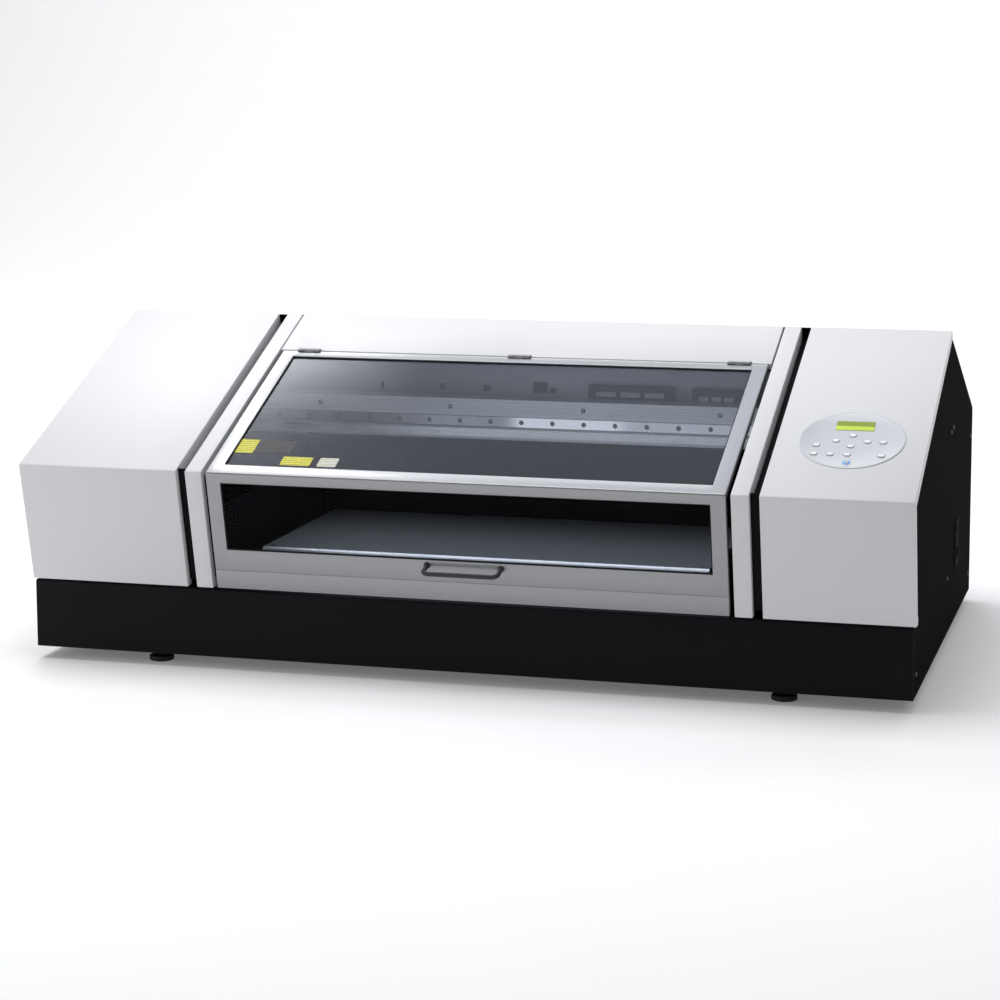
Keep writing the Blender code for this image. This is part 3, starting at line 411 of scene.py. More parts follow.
bed_low, bed_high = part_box("table_top")
grid_pitch = 0.050
line_width = 0.0006
bed_paint = Paint("anodised_bed", {"Metallic": 0.85})
bed_lines = bed_paint.noise(1.0, 4.0, (5.0, 380.0, 380.0))
first_line_y = bed_low.y + 0.015
from_left = (bed_paint.along("X") - (bed_low.x - line_width / 2)) % grid_pitch
from_front = (bed_paint.along("Y") - (first_line_y - line_width / 2)) % grid_pitch
scribed = (from_left < line_width) + (from_front < line_width)
bed_grey = (0.36, 0.37, 0.39)
bed_metal = bed_paint.blend(bed_lines, shade(bed_grey, 0.92), shade(bed_grey, 1.06))
bed_colour = bed_paint.blend(scribed, bed_metal, (0.20, 0.20, 0.21, 1.0))
bed_gloss = 0.40 + 0.14 * (bed_lines - 0.5)
dress(bed_paint.finish(bed_colour, bed_gloss, bed_paint.relief(bed_lines, 0.00003)), "table_top")


def rounded_ring(width, length, radius, steps):
    """A rounded rectangle about the origin, anticlockwise: four quarter circles joined by straights."""
    turn = np.linspace(0.0, math.pi / 2, steps + 1)
    quarter = np.arange(4)[:, None] * math.pi / 2 + turn
    sign_x = np.array([1, -1, -1, 1])[:, None]
    sign_y = np.array([1, 1, -1, -1])[:, None]
    x = sign_x * (width / 2 - radius) + radius * np.cos(quarter)
    y = sign_y * (length / 2 - radius) + radius * np.sin(quarter)
    return np.stack([x.ravel(), y.ravel()], axis=1)


def housing(name, low, high, corner, edge, place=None, steps=5):
    """A closed box with round corners and edges: rounded rectangles stacked up, the first and last
    few drawn in along a quarter circle of the edge's radius."""
    low = np.asarray(low, float)
    high = np.asarray(high, float)
    size = high - low
    turn = np.linspace(0.0, math.pi / 2, steps + 1)
    shrink = edge * (1 - np.sin(turn))
    lift = edge * (1 - np.cos(turn))
    shrink = np.concatenate([shrink, shrink[::-1]])
    heights = np.concatenate([lift, size[2] - lift[::-1]]) - size[2] / 2
    rings = np.stack(
        [rounded_ring(size[0] - 2 * s, size[1] - 2 * s, max(corner - s, 0.0002), steps) for s in shrink]
    )
    tall = np.broadcast_to(heights[:, None, None], (*rings.shape[:2], 1))
    points = np.concatenate([rings, tall], axis=2) + (low + high) / 2
    if place is not None:
        turned_by = np.array(place)
        points = points @ turned_by[:3, :3].T + turned_by[:3, 3]
    return skin(name, points, around=True, caps=True)


def threaded(name, radius, lead, depth, low_z, high_z, x, y, sides=24, rows_per_turn=8):
    """A screw thread: the radius dips by the depth once for each lead climbed, as a smooth wave that
    winds round with the angle."""
    rows = int((high_z - low_z) / lead * rows_per_turn) + 1
    z = np.linspace(low_z, high_z, rows)[:, None]
    angle = np.linspace(0.0, 2 * math.pi, sides, endpoint=False)[None, :]
    phase = 2 * math.pi * (z - low_z) / lead - angle
    reach = radius - depth * (0.5 + 0.5 * np.cos(phase)) ** 2
    round_x = x + reach * np.cos(angle)
    round_y = y + reach * np.sin(angle)
    points = np.stack([round_x, round_y, z + 0.0 * angle], axis=-1)
    return skin(name, points, around=True, caps=True)


screw_radius = 0.0080
screw_lead = 0.005
thread_depth = 0.0013
collar_profile = [(0.0120, 0.0), (0.0120, 0.0026), (0.0112, 0.0030), (0.0080, 0.0030)]
for side in ("left", "right"):
    low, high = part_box(f"lift_screw_{side}")
    x, y, _ = (low + high) / 2
    span = (low.z + 0.003, high.z)
    rod = threaded(f"lift_thread_{side}", screw_radius, screw_lead, thread_depth, *span, x, y)
    placed(rod, ground_steel, f"lift_screw_{side}", "bright_steel", f"lift_screw_{side}")
    collar = turned(f"lift_collar_{side}", collar_profile, (x, y, low.z), (0, 0, 1))
    placed(collar, black_screw, f"lift_screw_{side}", "dark_steel")

polished = metal("polished_aluminium", (0.47, 0.48, 0.50), 0.42, (8.0, 700.0, 700.0), 0.00001, 0.8)
edge_out = 0.0055
nose = [
    (bed_low.y, bed_high.z),
    (bed_low.y - 0.0006, bed_high.z - 0.0002),
    (bed_low.y - edge_out + 0.0002, bed_high.z - edge_out + 0.0006),
    (bed_low.y - edge_out, bed_high.z - edge_out),
    (bed_low.y - edge_out, bed_low.z),
    (bed_low.y, bed_low.z),
]


def extrusion(name, outline, ends):
    """A profile in (y, z), clockwise as seen from its first end, drawn straight along x."""
    outline = np.asarray(outline, float)[::-1]
    x = np.asarray(ends, float)[:, None, None]
    flat = np.broadcast_to(outline, (2, *outline.shape))
    points = np.concatenate([np.broadcast_to(x, (2, len(outline), 1)), flat], axis=2)
    return skin(name, points, around=True, caps=True)


bed_edge = extrusion("bed_front_edge", nose, (bed_low.x, bed_high.x))
placed(bed_edge, polished, "table_top", "aluminium")

bed_inset = 0.014
bed_corners = [
    (x, y, bed_high.z)
    for x in (bed_low.x + bed_inset, bed_high.x - bed_inset)
    for y in (bed_low.y + bed_inset, bed_high.y - bed_inset)
]
countersunk = [(0.0048, -0.0002), (0.0048, 0.0001), (0.0040, 0.0002), (0.0021, 0.0002), (0.0019, 0.0)]
bed_bolts = turned("bed_bolts", countersunk, bed_corners, (0, 0, 1), 16)
placed(bed_bolts, black_screw, "table_top", "dark_steel")

# ----------------------------------------
# The guide beam. An aluminium extrusion spans the machine on two posts. Its face carries the linear
# rail, a ground strip on a row of screws over the slot that the toothed belt runs in, and a ribbed
# strip above them.
extruded = metal("extruded_aluminium", (0.80, 0.81, 0.85), 0.40, (4.0, 500.0, 500.0), 0.00003, 0.25)
dress(extruded, "guide_beam", "drive_pulley", "idler_pulley")
dress(black_coat, "beam_post_left", "beam_post_right")
dress(ground_steel, "guide_rail")
beam_low, beam_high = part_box("guide_beam")
beam_face = beam_low.y
rail_low, rail_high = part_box("guide_rail")
strip_y = beam_face - 0.0006
strip_low = 0.3692
strip_high = 0.3883
strip_chamfer = 0.0004
strip_back = strip_y + 0.0018
strip_outline = [
    (strip_y + strip_chamfer, strip_low),
    (strip_y, strip_low + strip_chamfer),
    (strip_y, strip_high - strip_chamfer),
    (strip_y + strip_chamfer, strip_high),
    (strip_back, strip_high),
    (strip_back, strip_low),
]


def step_up(paint, amount, start, end):
    """0 below the start and 1 above the end, with 3t^2 - 2t^3 between, t the share of the way there."""
    settings = {"interpolation_type": "SMOOTHSTEP"}
    node = paint.node("ShaderNodeMapRange", settings, {0: amount, 1: start, 2: end})
    return Amount(paint, node.outputs[0])


# Painted highlight: the strip's colour is bright grey from about x = -0.012 to 0.15. Past x = 0.2 it
# keeps only part of that brightness, and left of x = -0.06 it is dull grey. This stands in for a light
# reflected in the polished steel, and the roughness drops a little in the same band.
strip_highlight_paint = Paint("ground_strip_painted_highlight", {"Metallic": 0.92})
strip_lines = strip_highlight_paint.noise(1.0, 4.0, (2.0, 900.0, 900.0))
highlight_rise = step_up(strip_highlight_paint, strip_highlight_paint.along("X"), -0.060, -0.012)
highlight_fall = step_up(strip_highlight_paint, strip_highlight_paint.along("X"), 0.150, 0.200)
painted_highlight = highlight_rise * (1.0 - 0.55 * highlight_fall)
highlight_colour = strip_highlight_paint.blend(painted_highlight, (0.34, 0.35, 0.38, 1.0), (0.90, 0.91, 0.94, 1.0))
strip_gloss = 0.24 - 0.08 * painted_highlight + 0.12 * (strip_lines - 0.5)
highlit_strip_steel = strip_highlight_paint.finish(highlight_colour, strip_gloss, strip_highlight_paint.relief(strip_lines, 0.000004))
strip = extrusion("ground_strip", strip_outline, (rail_low.x, rail_high.x))
placed(strip, highlit_strip_steel, "chassis", "bright_steel")
bolt_pitch = 0.060
first_bolt = rail_low.x + 0.0208
bolt_z = (strip_low + strip_high) / 2
bolt_spots = [(x, strip_y, bolt_z) for x in np.arange(first_bolt, rail_high.x, bolt_pitch)]
bore = [(0.0046, -0.0001), (0.0046, 0.0002), (0.0040, 0.0002), (0.0036, 0.0001)]
bolts = turned("strip_bolts", bore, bolt_spots, (0, -1, 0), 16)
placed(bolts, black_screw, "chassis", "dark_steel")
pulley_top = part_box("drive_pulley")[1].z
band_x = 0.100 + 0.258 * np.arange(-2, 3)
band_spots = [(x, beam_face, (pulley_top + beam_high.z) / 2) for x in band_x]
screw_heads("beam_screws", band_spots, (0, -1, 0), 0.0045, black_screw, "chassis", "dark_steel")

band_top = beam_high.z - 0.0015
band_bottom = pulley_top + 0.0045
band_face = beam_face - 0.0012
groove_floor = beam_face - 0.0003
band_outline = [(beam_face, band_bottom), (band_face, band_bottom)]
for groove in np.linspace(band_bottom + 0.004, band_top - 0.004, 4):
    band_outline += [(band_face, groove - 0.0012), (groove_floor, groove - 0.0006)]
    band_outline += [(groove_floor, groove + 0.0006), (band_face, groove + 0.0012)]
band_outline += [(band_face, band_top), (beam_face, band_top)]
band = extrusion("beam_ribbed_strip", band_outline, (rail_low.x + 0.004, rail_high.x - 0.004))
placed(band, extruded, "chassis", "aluminium")

belt_low, belt_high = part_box("drive_belt")


def toothed_belt(name, low, high, thickness, pitch, tooth):
    """A loop about two pulley axes: a flat back, and an inner face that dips by the tooth's height in
    an even wave. The loop is two straights and two half circles, walked at an even pace."""
    radius = (high.z - low.z) / 2
    half = (high.x - low.x) / 2 - radius
    length = 4 * half + 2 * math.pi * radius
    count = int(length / pitch) * 6
    walk = np.linspace(0.0, length, count, endpoint=False)
    straight = 2 * half
    bend = math.pi * radius
    angle = np.where(walk < straight, 0.0, np.clip((walk - straight) / radius, 0.0, math.pi))
    angle = angle + np.clip((walk - 2 * straight - bend) / radius, 0.0, math.pi)
    out = np.stack([np.sin(angle), np.cos(angle)], axis=1)
    upper = np.clip(walk, 0.0, straight) - half
    lower = half - np.clip(walk - straight - bend, 0.0, straight)
    centre_x = np.where(walk < straight + bend, upper, lower)
    centre = np.stack([centre_x + (low.x + high.x) / 2, np.full(count, (low.z + high.z) / 2)], axis=1)
    wave = 0.5 + 0.5 * np.clip(2.2 * np.cos(2 * math.pi * walk / pitch), -1.0, 1.0)
    inner = radius - thickness - tooth * wave + tooth
    rails = []
    for reach, y in ((inner, low.y), (radius, low.y), (radius, high.y), (inner, high.y)):
        flat = centre + out * np.broadcast_to(reach, count)[:, None]
        rails.append(np.stack([flat[:, 0], np.full(count, y), flat[:, 1]], axis=1))
    points = np.stack(rails, axis=0)
    return skin(name, np.concatenate([points, points[:1]]), around=True)


belt = toothed_belt("toothed_belt", belt_low, belt_high, 0.0016, 0.0030, 0.0008)
belt_rubber = powder_coat("belt_rubber", (0.020, 0.020, 0.021), 1800.0, 0.66, 0.25, 0.00006)
placed(belt, belt_rubber, "chassis", "belt_rubber", "drive_belt")

# ----------------------------------------
# The carriage and its stations. A moulded grey hood covers the print heads, a black curing lamp hangs
# on each side of it, and it parks over the capping station. The ink unit stands under the left cover.
black_moulding = powder_coat("black_moulding", (0.018, 0.018, 0.020), 1200.0, 0.50, 0.35, 0.00008)
grey_moulding = powder_coat("grey_moulding", (0.50, 0.51, 0.53), 1100.0, 0.40, 0.4, 0.00005)
dress(black_moulding, "cap_station", "carriage_motor")

carriage_low, carriage_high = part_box("carriage")
shroud_high = (carriage_high.x, carriage_low.y + 0.075, carriage_high.z)
shroud = housing("carriage_shroud", carriage_low, shroud_high, 0.006, 0.004)
placed(shroud, grey_moulding, "carriage", "grey_plastic")
dress(grey_moulding, "carriage")
head_steel = metal("head_plate_steel", (0.30, 0.30, 0.32), 0.30, (500.0, 20.0, 500.0), 0.00003)
dress(head_steel, "print_head")


def fins(name, low, high, count, axis, share=0.45):
    """A row of plain boxes a pitch apart along the axis, each as wide as the share of that pitch."""
    low = np.asarray(low, float)
    high = np.asarray(high, float)
    pitch = (high[axis] - low[axis]) / count
    start = low[axis] + pitch * (np.arange(count) + (1 - share) / 2)
    corner = np.array([(a, b, c) for c in (0, 1) for a, b in ((0, 0), (1, 0), (1, 1), (0, 1))], float)
    size = high - low
    size[axis] = pitch * share
    points = low + corner * size
    points = np.repeat(points[None], count, axis=0)
    points[:, :, axis] += (start - low[axis])[:, None]
    one = np.array([(3, 2, 1, 0), (4, 5, 6, 7), (0, 1, 5, 4), (1, 2, 6, 5), (2, 3, 7, 6), (3, 0, 4, 7)])
    faces = (one[None] + 8 * np.arange(count)[:, None, None]).reshape(-1, 4).tolist()
    return meshed(name, points.reshape(-1, 3), faces)


fin_height = 0.018
fin_count = 14
for side in ("left", "right"):
    low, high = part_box(f"uv_lamp_{side}")
    body = housing(f"lamp_body_{side}", low, (high.x, high.y, high.z - fin_height), 0.004, 0.002)
    placed(body, black_moulding, "carriage", "black_plastic", f"uv_lamp_{side}")
    sink_low = (low.x + 0.003, low.y + 0.004, high.z - fin_height - 0.0005)
    sink_high = (high.x - 0.003, high.y - 0.004, high.z)
    sink = fins(f"lamp_heat_sink_{side}", sink_low, sink_high, fin_count, 1)
    placed(sink, extruded, "carriage", "aluminium")
dress(black_moulding, "ink_supply")

# ----------------------------------------
# The lining of the print bay. Black sheets screen the bay's sides below the carriage's path. A zinc
# plated panel behind the beam carries two vented electronics boxes and a row of small clips, and foam
# pads behind the rear slots keep dust out.
lining_coat = powder_coat("lining_coat", (0.007, 0.0075, 0.009), 900.0, 0.60, 0.05, 0.00006)
pillar_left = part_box("left_pillar")
pillar_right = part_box("right_pillar")
cover_low, cover_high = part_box("front_cover")
screen_low = 0.150
screen_high = 0.285
screen_back = beam_high.y - 0.012
screen_outline = [
    (apron_high.y + 0.014, screen_low),
    (screen_back, screen_low),
    (screen_back, screen_high),
    (apron_high.y - 0.010, screen_high),
]
for side, x, order in (
    ("left", pillar_left[1].x + 0.004, [0, 1, 2, 3]),
    ("right", pillar_right[0].x - 0.004, [3, 2, 1, 0]),
):
    wall = np.array([(x, *corner) for corner in screen_outline])
    screen = thick(meshed(f"bay_screen_{side}", wall, [order]), 0.0015, 0.0003)
    placed(screen, lining_coat, "chassis", "black_paint")

back_half = 0.700
back_panel_y = beam_high.y + 0.030
back_low = (-back_half, back_panel_y, beam_low.z)
back_high = (back_half, back_panel_y + 0.002, 0.478)
zinc = metal("zinc_plated_sheet", (0.46, 0.47, 0.53), 0.42, (30.0, 30.0, 60.0), 0.00002, 0.2)
back_panel = housing("bay_back_panel", back_low, back_high, 0.0008, 0.0006, steps=2)
placed(back_panel, zinc, "chassis", "bright_steel")
filter_foam = powder_coat("filter_foam", (0.008, 0.008, 0.009), 420.0, 0.9, 0.03, 0.0009)
box_coat = powder_coat("box_coat", (0.022, 0.023, 0.026), 900.0, 0.42, 0.2, 0.00006)
box_spans = ((0.094, 0.257, 0.420, 0.445), (0.292, 0.386, 0.417, 0.444))
box_front = beam_high.y + 0.004
for index, (left, right, bottom, top) in enumerate(box_spans):
    box_corners = (left, box_front, bottom), (right, back_panel_y, top)
    unit = housing(f"vented_box_{index}", *box_corners, 0.003, 0.0015, steps=3)
    placed(unit, box_coat, "chassis", "black_paint")
    insert_low = (left + 0.012, box_front - 0.0006, bottom + 0.005)
    insert_high = (right - 0.012, box_front + 0.001, bottom + 0.014)
    inserts = fins(f"vented_box_inserts_{index}", insert_low, insert_high, 3, 0, 0.8)
    placed(inserts, grey_moulding, "chassis", "grey_plastic")

clip_x = (-0.316, -0.198, -0.110, -0.005, 0.021)
clip_widths = (0.008, 0.009, 0.011, 0.025, 0.010)
clip_heights = (0.012, 0.012, 0.012, 0.020, 0.009)
clip_foot = beam_high.z + 0.004
for index, (x, wide, tall) in enumerate(zip(clip_x, clip_widths, clip_heights)):
    clip_low = (x - wide / 2, back_panel_y - 0.008, clip_foot)
    clip_high = (x + wide / 2, back_panel_y, clip_foot + tall)
    clip = housing(f"back_clip_{index}", clip_low, clip_high, 0.0015, 0.0008, steps=2)
    placed(clip, black_moulding, "chassis", "black_plastic")

vent_half = 0.075
for side, vent_x in (("left", -0.45), ("right", 0.45)):
    pad_low = (vent_x - vent_half, 0.4640, 0.105)
    pad_high = (vent_x + vent_half, 0.4752, 0.250)
    pad = housing(f"vent_filter_{side}", pad_low, pad_high, 0.006, 0.003)
    placed(pad, filter_foam, "chassis", "black_plastic")

# ----------------------------------------
# The covers. Steel sheets, each folded once over the front edge, hemmed along their sides and coated
# white: a wide one at each end, a narrow pillar strip beside the bay, and the hood over the hinges.
# The rear slope has a plain black sheet.
white_coat = powder_coat("white_powder_coat", (0.645, 0.645, 0.655), 700.0, 0.38, 0.22, 0.00005)
joints = {joint["name"]: joint for joint in frame["joints"]}
into_slope = Vector(joints["key_up_press"]["axis"]).normalized()
machine_low, machine_high = (Vector(corner) for corner in cad_box)
fold_height = 0.357
eave_height = 0.381
cover_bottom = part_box("left_cover")[0].z
front_foot = np.array([apron_low.y, cover_bottom])
fold = np.array([machine_low.y, fold_height])
up_slope = np.array([-into_slope.z, into_slope.y])
up_front = (fold - front_foot) / np.linalg.norm(fold - front_foot)
front_length = np.linalg.norm(fold - front_foot)
slope_length = (machine_high.z - fold_height) / up_slope[1]
apex = fold + up_slope * slope_length
eave = np.array([machine_high.y, eave_height])
fold_radius = 0.0035
hem_radius = 0.0016
sheet = 0.0025
foot_return = 0.017


def on_face(start, run, x, distance, lift=0.0):
    """Points on a flat of the outline: x across, a distance along it, and a lift off its outer face."""
    x, distance, lift = np.broadcast_arrays(x, distance, lift)
    out = np.array([-run[1], run[0]])
    flat = start + distance[..., None] * run + lift[..., None] * out
    return np.concatenate([x[..., None], flat], axis=-1)


def on_slope(x, distance, lift=0.0):
    return on_face(fold, up_slope, x, distance, lift)


def on_front(x, distance, lift=0.0):
    return on_face(front_foot, up_front, x, distance, lift)


cover_rows = bent([front_foot + (foot_return, 0.0), front_foot, fold, apex], (0.002, fold_radius))
outer_hem = 0.014
gap_hem = 0.026


def white_sheet(name, rows, columns, node, keep=None):
    """A folded sheet coated white, in place of one of the chassis's own nodes."""
    piece = thick(skin(name, folded(rows, columns), keep=keep), sheet, 0.0005)
    placed(piece, white_coat, "chassis", "white_paint", node)


for side, hems in (("left", (outer_hem, gap_hem)), ("right", (gap_hem, outer_hem))):
    low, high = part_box(f"{side}_cover")
    cover_columns = hemmed(low.x, high.x, hems, hem_radius)
    white_sheet(f"side_cover_{side}", cover_rows, cover_columns, f"{side}_cover")

pillar_width = 0.030
left_edge, left_outer = pillar_left[1].x, pillar_left[1].x - pillar_width
right_edge, right_outer = pillar_right[0].x, pillar_right[0].x + pillar_width
left_gap = (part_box("left_cover")[1].x, left_outer)
right_gap = (right_outer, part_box("right_cover")[0].x)
gap_lap = 0.0015
front_gap = ("front", [front_foot + (foot_return, 0.0), front_foot, fold], 0.012)
slope_gap = ("slope", [fold + up_slope * 0.008, apex], gap_hem)
for side, span, hems, gap in (
    ("left", (left_outer, left_edge), (gap_hem, outer_hem), left_gap),
    ("right", (right_edge, right_outer), (outer_hem, gap_hem), right_gap),
):
    strip_columns = hemmed(*span, hems, hem_radius)
    white_sheet(f"pillar_strip_{side}", cover_rows, strip_columns, f"{side}_pillar")
    for part, run, depth in (front_gap, slope_gap):
        channel = np.array([(gap[0] - gap_lap, depth), (gap[1] + gap_lap, depth)])
        floor = skin(f"gap_floor_{side}_{part}", folded(bent(run, (0.002,)), channel))
        placed(thick(floor, 0.0012, 0.0002), lining_coat, "chassis", "black_paint")

hood_low, hood_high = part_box("hood")
hood_start = 0.4265
hinge_boxes = [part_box(f"hinge_leaf_{place}") for place in ("left", "middle", "right")]
hinge_x = [(low.x + high.x) / 2 for low, high in hinge_boxes]
notch_half = 0.0215
notch_depth = 0.005
notch_breaks = sorted(x + side * notch_half for x in hinge_x for side in (-1, 1))
hood_lip = 0.012
hood_corner = fold + up_slope * hood_start
hood_rows = bent(
    [hood_corner + np.array([up_slope[1], -up_slope[0]]) * hood_lip, hood_corner, apex],
    (0.0014,),
    {1: ((notch_depth, 0.0),)},
)
hood_columns = hemmed(hood_low.x, hood_high.x, (0.010, 0.010), 0.0012, notch_breaks)


def middles(rows, columns):
    """The distance along the outline and the x of each quad's middle, halfway between its edges."""
    distances = rows[-1]
    x = columns[:, 0]
    return (distances[1:] + distances[:-1]) / 2, (x[1:] + x[:-1]) / 2


def in_notches(rows, columns, first, last):
    """True for the quads between two distances along the outline that lie in a hinge notch."""
    along, across = middles(rows, columns)
    flat = (columns[1:, 1] + columns[:-1, 1]) < 1e-6
    near = np.abs(across[:, None] - np.array(hinge_x)).min(axis=1) < notch_half
    return ((along > first) & (along < last))[:, None] & (near & flat)[None, :]


hood_keep = ~in_notches(hood_rows, hood_columns, -1.0, hood_lip + notch_depth)
white_sheet("hood_sheet", hood_rows, hood_columns, "hood", hood_keep)

rear_low, rear_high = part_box("rear_cover")
rear_run = eave - apex
rear_length = np.linalg.norm(rear_run)
rear_run = rear_run / rear_length
rear_rows = bent([apex + rear_run * 0.0025, eave - rear_run * 0.0005], ())
rear_grid = folded(rear_rows, hemmed(rear_low.x, rear_high.x, hem_depths, 0.0010))
rear_sheet = thick(skin("rear_sheet", rear_grid), 0.0013, 0.0003)
placed(rear_sheet, black_coat, "chassis", "black_paint", "rear_cover")
wall_low, wall_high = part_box("rear_panel")
flange_low = (wall_low.x + 0.006, wall_low.y - 0.0040, wall_high.z - 0.012)
flange_high = (wall_high.x - 0.006, wall_low.y - 0.0004, eave[1] - 0.0012)
rear_flange = housing("rear_flange", flange_low, flange_high, 0.0008, 0.0004, steps=2)
placed(rear_flange, black_coat, "chassis", "black_paint")
rear_out = (0.0, -rear_run[1], rear_run[0])
rear_spots = [
    (x, *(apex + rear_run * along_rear))
    for x in np.linspace(rear_low.x + 0.02, rear_high.x - 0.02, 6)
    for along_rear in (0.016, rear_length - 0.016)
]
screw_heads("roof_screws", rear_spots, rear_out, panel_screw, black_screw, "chassis", "black_paint")

# ----------------------------------------
# The front cover. One folded frame in silver metallic paint holds a sloped and an upright acrylic
# pane, clamped behind it on a black foam seal. Three hinges carry its top edge and a bar lifts it.
silver = Paint("silver_metallic_paint", {"Metallic": 0.7, "Coat Weight": 0.25, "Coat Roughness": 0.15})
flake_place = {"Vector": silver.place, "Scale": 1400.0}
flake = Amount(silver, silver.node("ShaderNodeTexVoronoi", None, flake_place).outputs["Color"])
silver_drift = silver.noise(3.0, 1.0)
silver_peel = silver.noise(600.0, 2.0)
silver_colour = silver.blend(flake, (0.25, 0.25, 0.26, 1.0), (0.33, 0.33, 0.34, 1.0))
silver_gloss = 0.30 + 0.06 * (flake - 0.5) + 0.05 * (silver_drift - 0.5)
silver_coat = silver.finish(silver_colour, silver_gloss, silver.relief(silver_peel, 0.00003))

skin_thickness = 0.003
slope_window = (0.027, 0.4045)
front_window = (0.074, 0.1985)
window_half = 0.4265
groove_at = 0.036
groove_half = 0.0009
groove_depth = 0.0009
cover_top = 0.4235
cover_start = 0.0015
bay_x = (cover_low.x + cover_high.x) / 2
window_edges = [bay_x - window_half, bay_x + window_half]
groove_floor_half = groove_half * 0.6
front_stations = [
    (groove_at - groove_half, 0.0),
    (groove_at - groove_floor_half, groove_depth),
    (groove_at + groove_floor_half, groove_depth),
    (groove_at + groove_half, 0.0),
    (front_window[0], 0.0),
    (front_window[1], 0.0),
]
front_stations = [(distance - cover_start, sunk) for distance, sunk in front_stations]
slope_stations = [(distance, 0.0) for distance in (*slope_window, cover_top - notch_depth)]
frame_rows = bent(
    [front_foot + up_front * cover_start, fold, fold + up_slope * cover_top],
    (fold_radius,),
    {0: front_stations, 1: slope_stations},
    steps=8,
)
frame_breaks = sorted(window_edges + notch_breaks)
frame_columns = hemmed(cover_low.x, cover_high.x, (0.013, 0.013), 0.0020, frame_breaks)
fold_at = front_length - cover_start
along_frame, across_frame = middles(frame_rows, frame_columns)
in_span = np.abs(across_frame - bay_x) < window_half
in_pane = np.zeros(len(along_frame), bool)
for start, window in ((-cover_start, front_window), (fold_at, slope_window)):
    in_pane |= (along_frame > start + window[0]) & (along_frame < start + window[1])
glazed = in_pane[:, None] & in_span[None, :]
hinged = in_notches(frame_rows, frame_columns, fold_at + cover_top - notch_depth, fold_at + 1.0)
cover_frame = skin("cover_frame", folded(frame_rows, frame_columns), keep=~(glazed | hinged))
thick(cover_frame, skin_thickness, 0.0007)
placed(cover_frame, silver_coat, "front_cover", "silver_paint", "front_cover")


def acrylic(name, tint, index):
    """Clear sheet that darkens what is behind it by the tint at each face and gleams at its front."""
    pane = Paint(name, {"Base Color": (0.92, 0.95, 1.0, 1.0), "Metallic": 1.0})
    wiped = pane.noise(7.0, 3.0, (1.0, 3.0, 3.0))
    pane.feed(pane.shader, {"Roughness": 0.10 + 0.06 * wiped})
    gleam = Amount(pane, pane.node("ShaderNodeFresnel", None, {"IOR": index}).outputs[0])
    behind = Amount(pane, pane.node("ShaderNodeNewGeometry").outputs["Backfacing"])
    see_through = pane.node("ShaderNodeBsdfTransparent", None, {"Color": tint})
    sockets = {0: gleam * (1.0 - behind), 1: see_through.outputs[0], 2: pane.shader.outputs[0]}
    mixed = pane.node("ShaderNodeMixShader", None, sockets)
    pane.feed(pane.tree.nodes["Material Output"], {"Surface": mixed.outputs[0]})
    return pane.material


dress(acrylic("sloped_pane_acrylic", (0.93, 0.945, 0.965, 1.0), 1.30), "slope_window")
dress(acrylic("front_pane_acrylic", (0.86, 0.88, 0.91, 1.0), 1.12), "front_window")

black_foam = powder_coat("black_foam_seal", (0.012, 0.012, 0.013), 2200.0, 0.8, 0.2, 0.00012)
seal_width = 0.0022
seal_back = -0.0034
seal_face = 0.0014 - skin_thickness


def seal(name, place, span):
    """A thin frame round a window opening: two rounded rectangles, one inside the other, each at two
    heights, joined into a closed band."""
    middle = (span[0] + span[1]) / 2
    length = span[1] - span[0]
    outer = rounded_ring(2 * window_half, length, 0.0012, 3)
    inner = rounded_ring(2 * (window_half - seal_width), length - 2 * seal_width, 0.0008, 3)
    walk = ((outer, seal_back), (inner, seal_back), (inner, seal_face), (outer, seal_face))
    rings = [place(bay_x + ring[:, 0], middle + ring[:, 1], lift) for ring, lift in walk]
    return skin(name, np.stack(rings + rings[:1])[::-1], around=True)


placed(seal("slope_seal", on_slope, slope_window), black_foam, "front_cover", "belt_rubber")
placed(seal("front_seal", on_front, front_window), black_foam, "front_cover", "belt_rubber")


def bar(name, route, radius, sides=16):
    """A round bar: a circle of the radius carried along the route, square to it at every point."""
    route = np.asarray(route, float)
    run = np.gradient(route, axis=0)
    run /= np.linalg.norm(run, axis=1)[:, None]
    across = np.cross(run, (0.0, 0.37, 0.93))
    across /= np.linalg.norm(across, axis=1)[:, None]
    up = np.cross(across, run)
    angle = np.linspace(0.0, 2 * math.pi, sides, endpoint=False)[None, :, None]
    ring = np.cos(angle) * up[:, None] + np.sin(angle) * across[:, None]
    return skin(name, (route[:, None] + radius * ring)[::-1], around=True, caps=True)


handle_low, handle_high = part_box("cover_handle")
handle_radius = 0.004
leg_z = handle_high.z - handle_radius
leg_top = front_foot + up_front * ((leg_z - front_foot[1]) / up_front[1])
leg_foot = np.array([leg_top[0] - 0.0006, leg_z])
corner = np.array([handle_low.y, handle_low.z]) + handle_radius
leg_run = (corner - leg_foot) / np.linalg.norm(corner - leg_foot)
bend_radius = 0.010
left_leg = handle_low.x + handle_radius
right_leg = handle_high.x - handle_radius
turn = np.linspace(0.0, math.pi / 2, 9)[:, None]
arc_in = bend_radius * (np.sin(turn) - 1.0) * leg_run + corner
arc_x = left_leg + bend_radius * (1.0 - np.cos(turn))
left_half = np.concatenate([[[left_leg, *leg_foot]], np.concatenate([arc_x, arc_in], axis=1)])
right_half = left_half[::-1] * (-1, 1, 1) + (left_leg + right_leg, 0, 0)
dark_steel = metal("blackened_steel", (0.040, 0.041, 0.045), 0.42, (300.0, 700.0, 700.0), 0.00003, 0.5)
handle = bar("lift_bar", np.concatenate([left_half, right_half]), handle_radius)
placed(handle, dark_steel, "front_cover", "dark_steel", "cover_handle")
boss = [(0.0060, 0.0), (0.0060, 0.0012), (0.0054, 0.0017), (0.0042, 0.0018)]
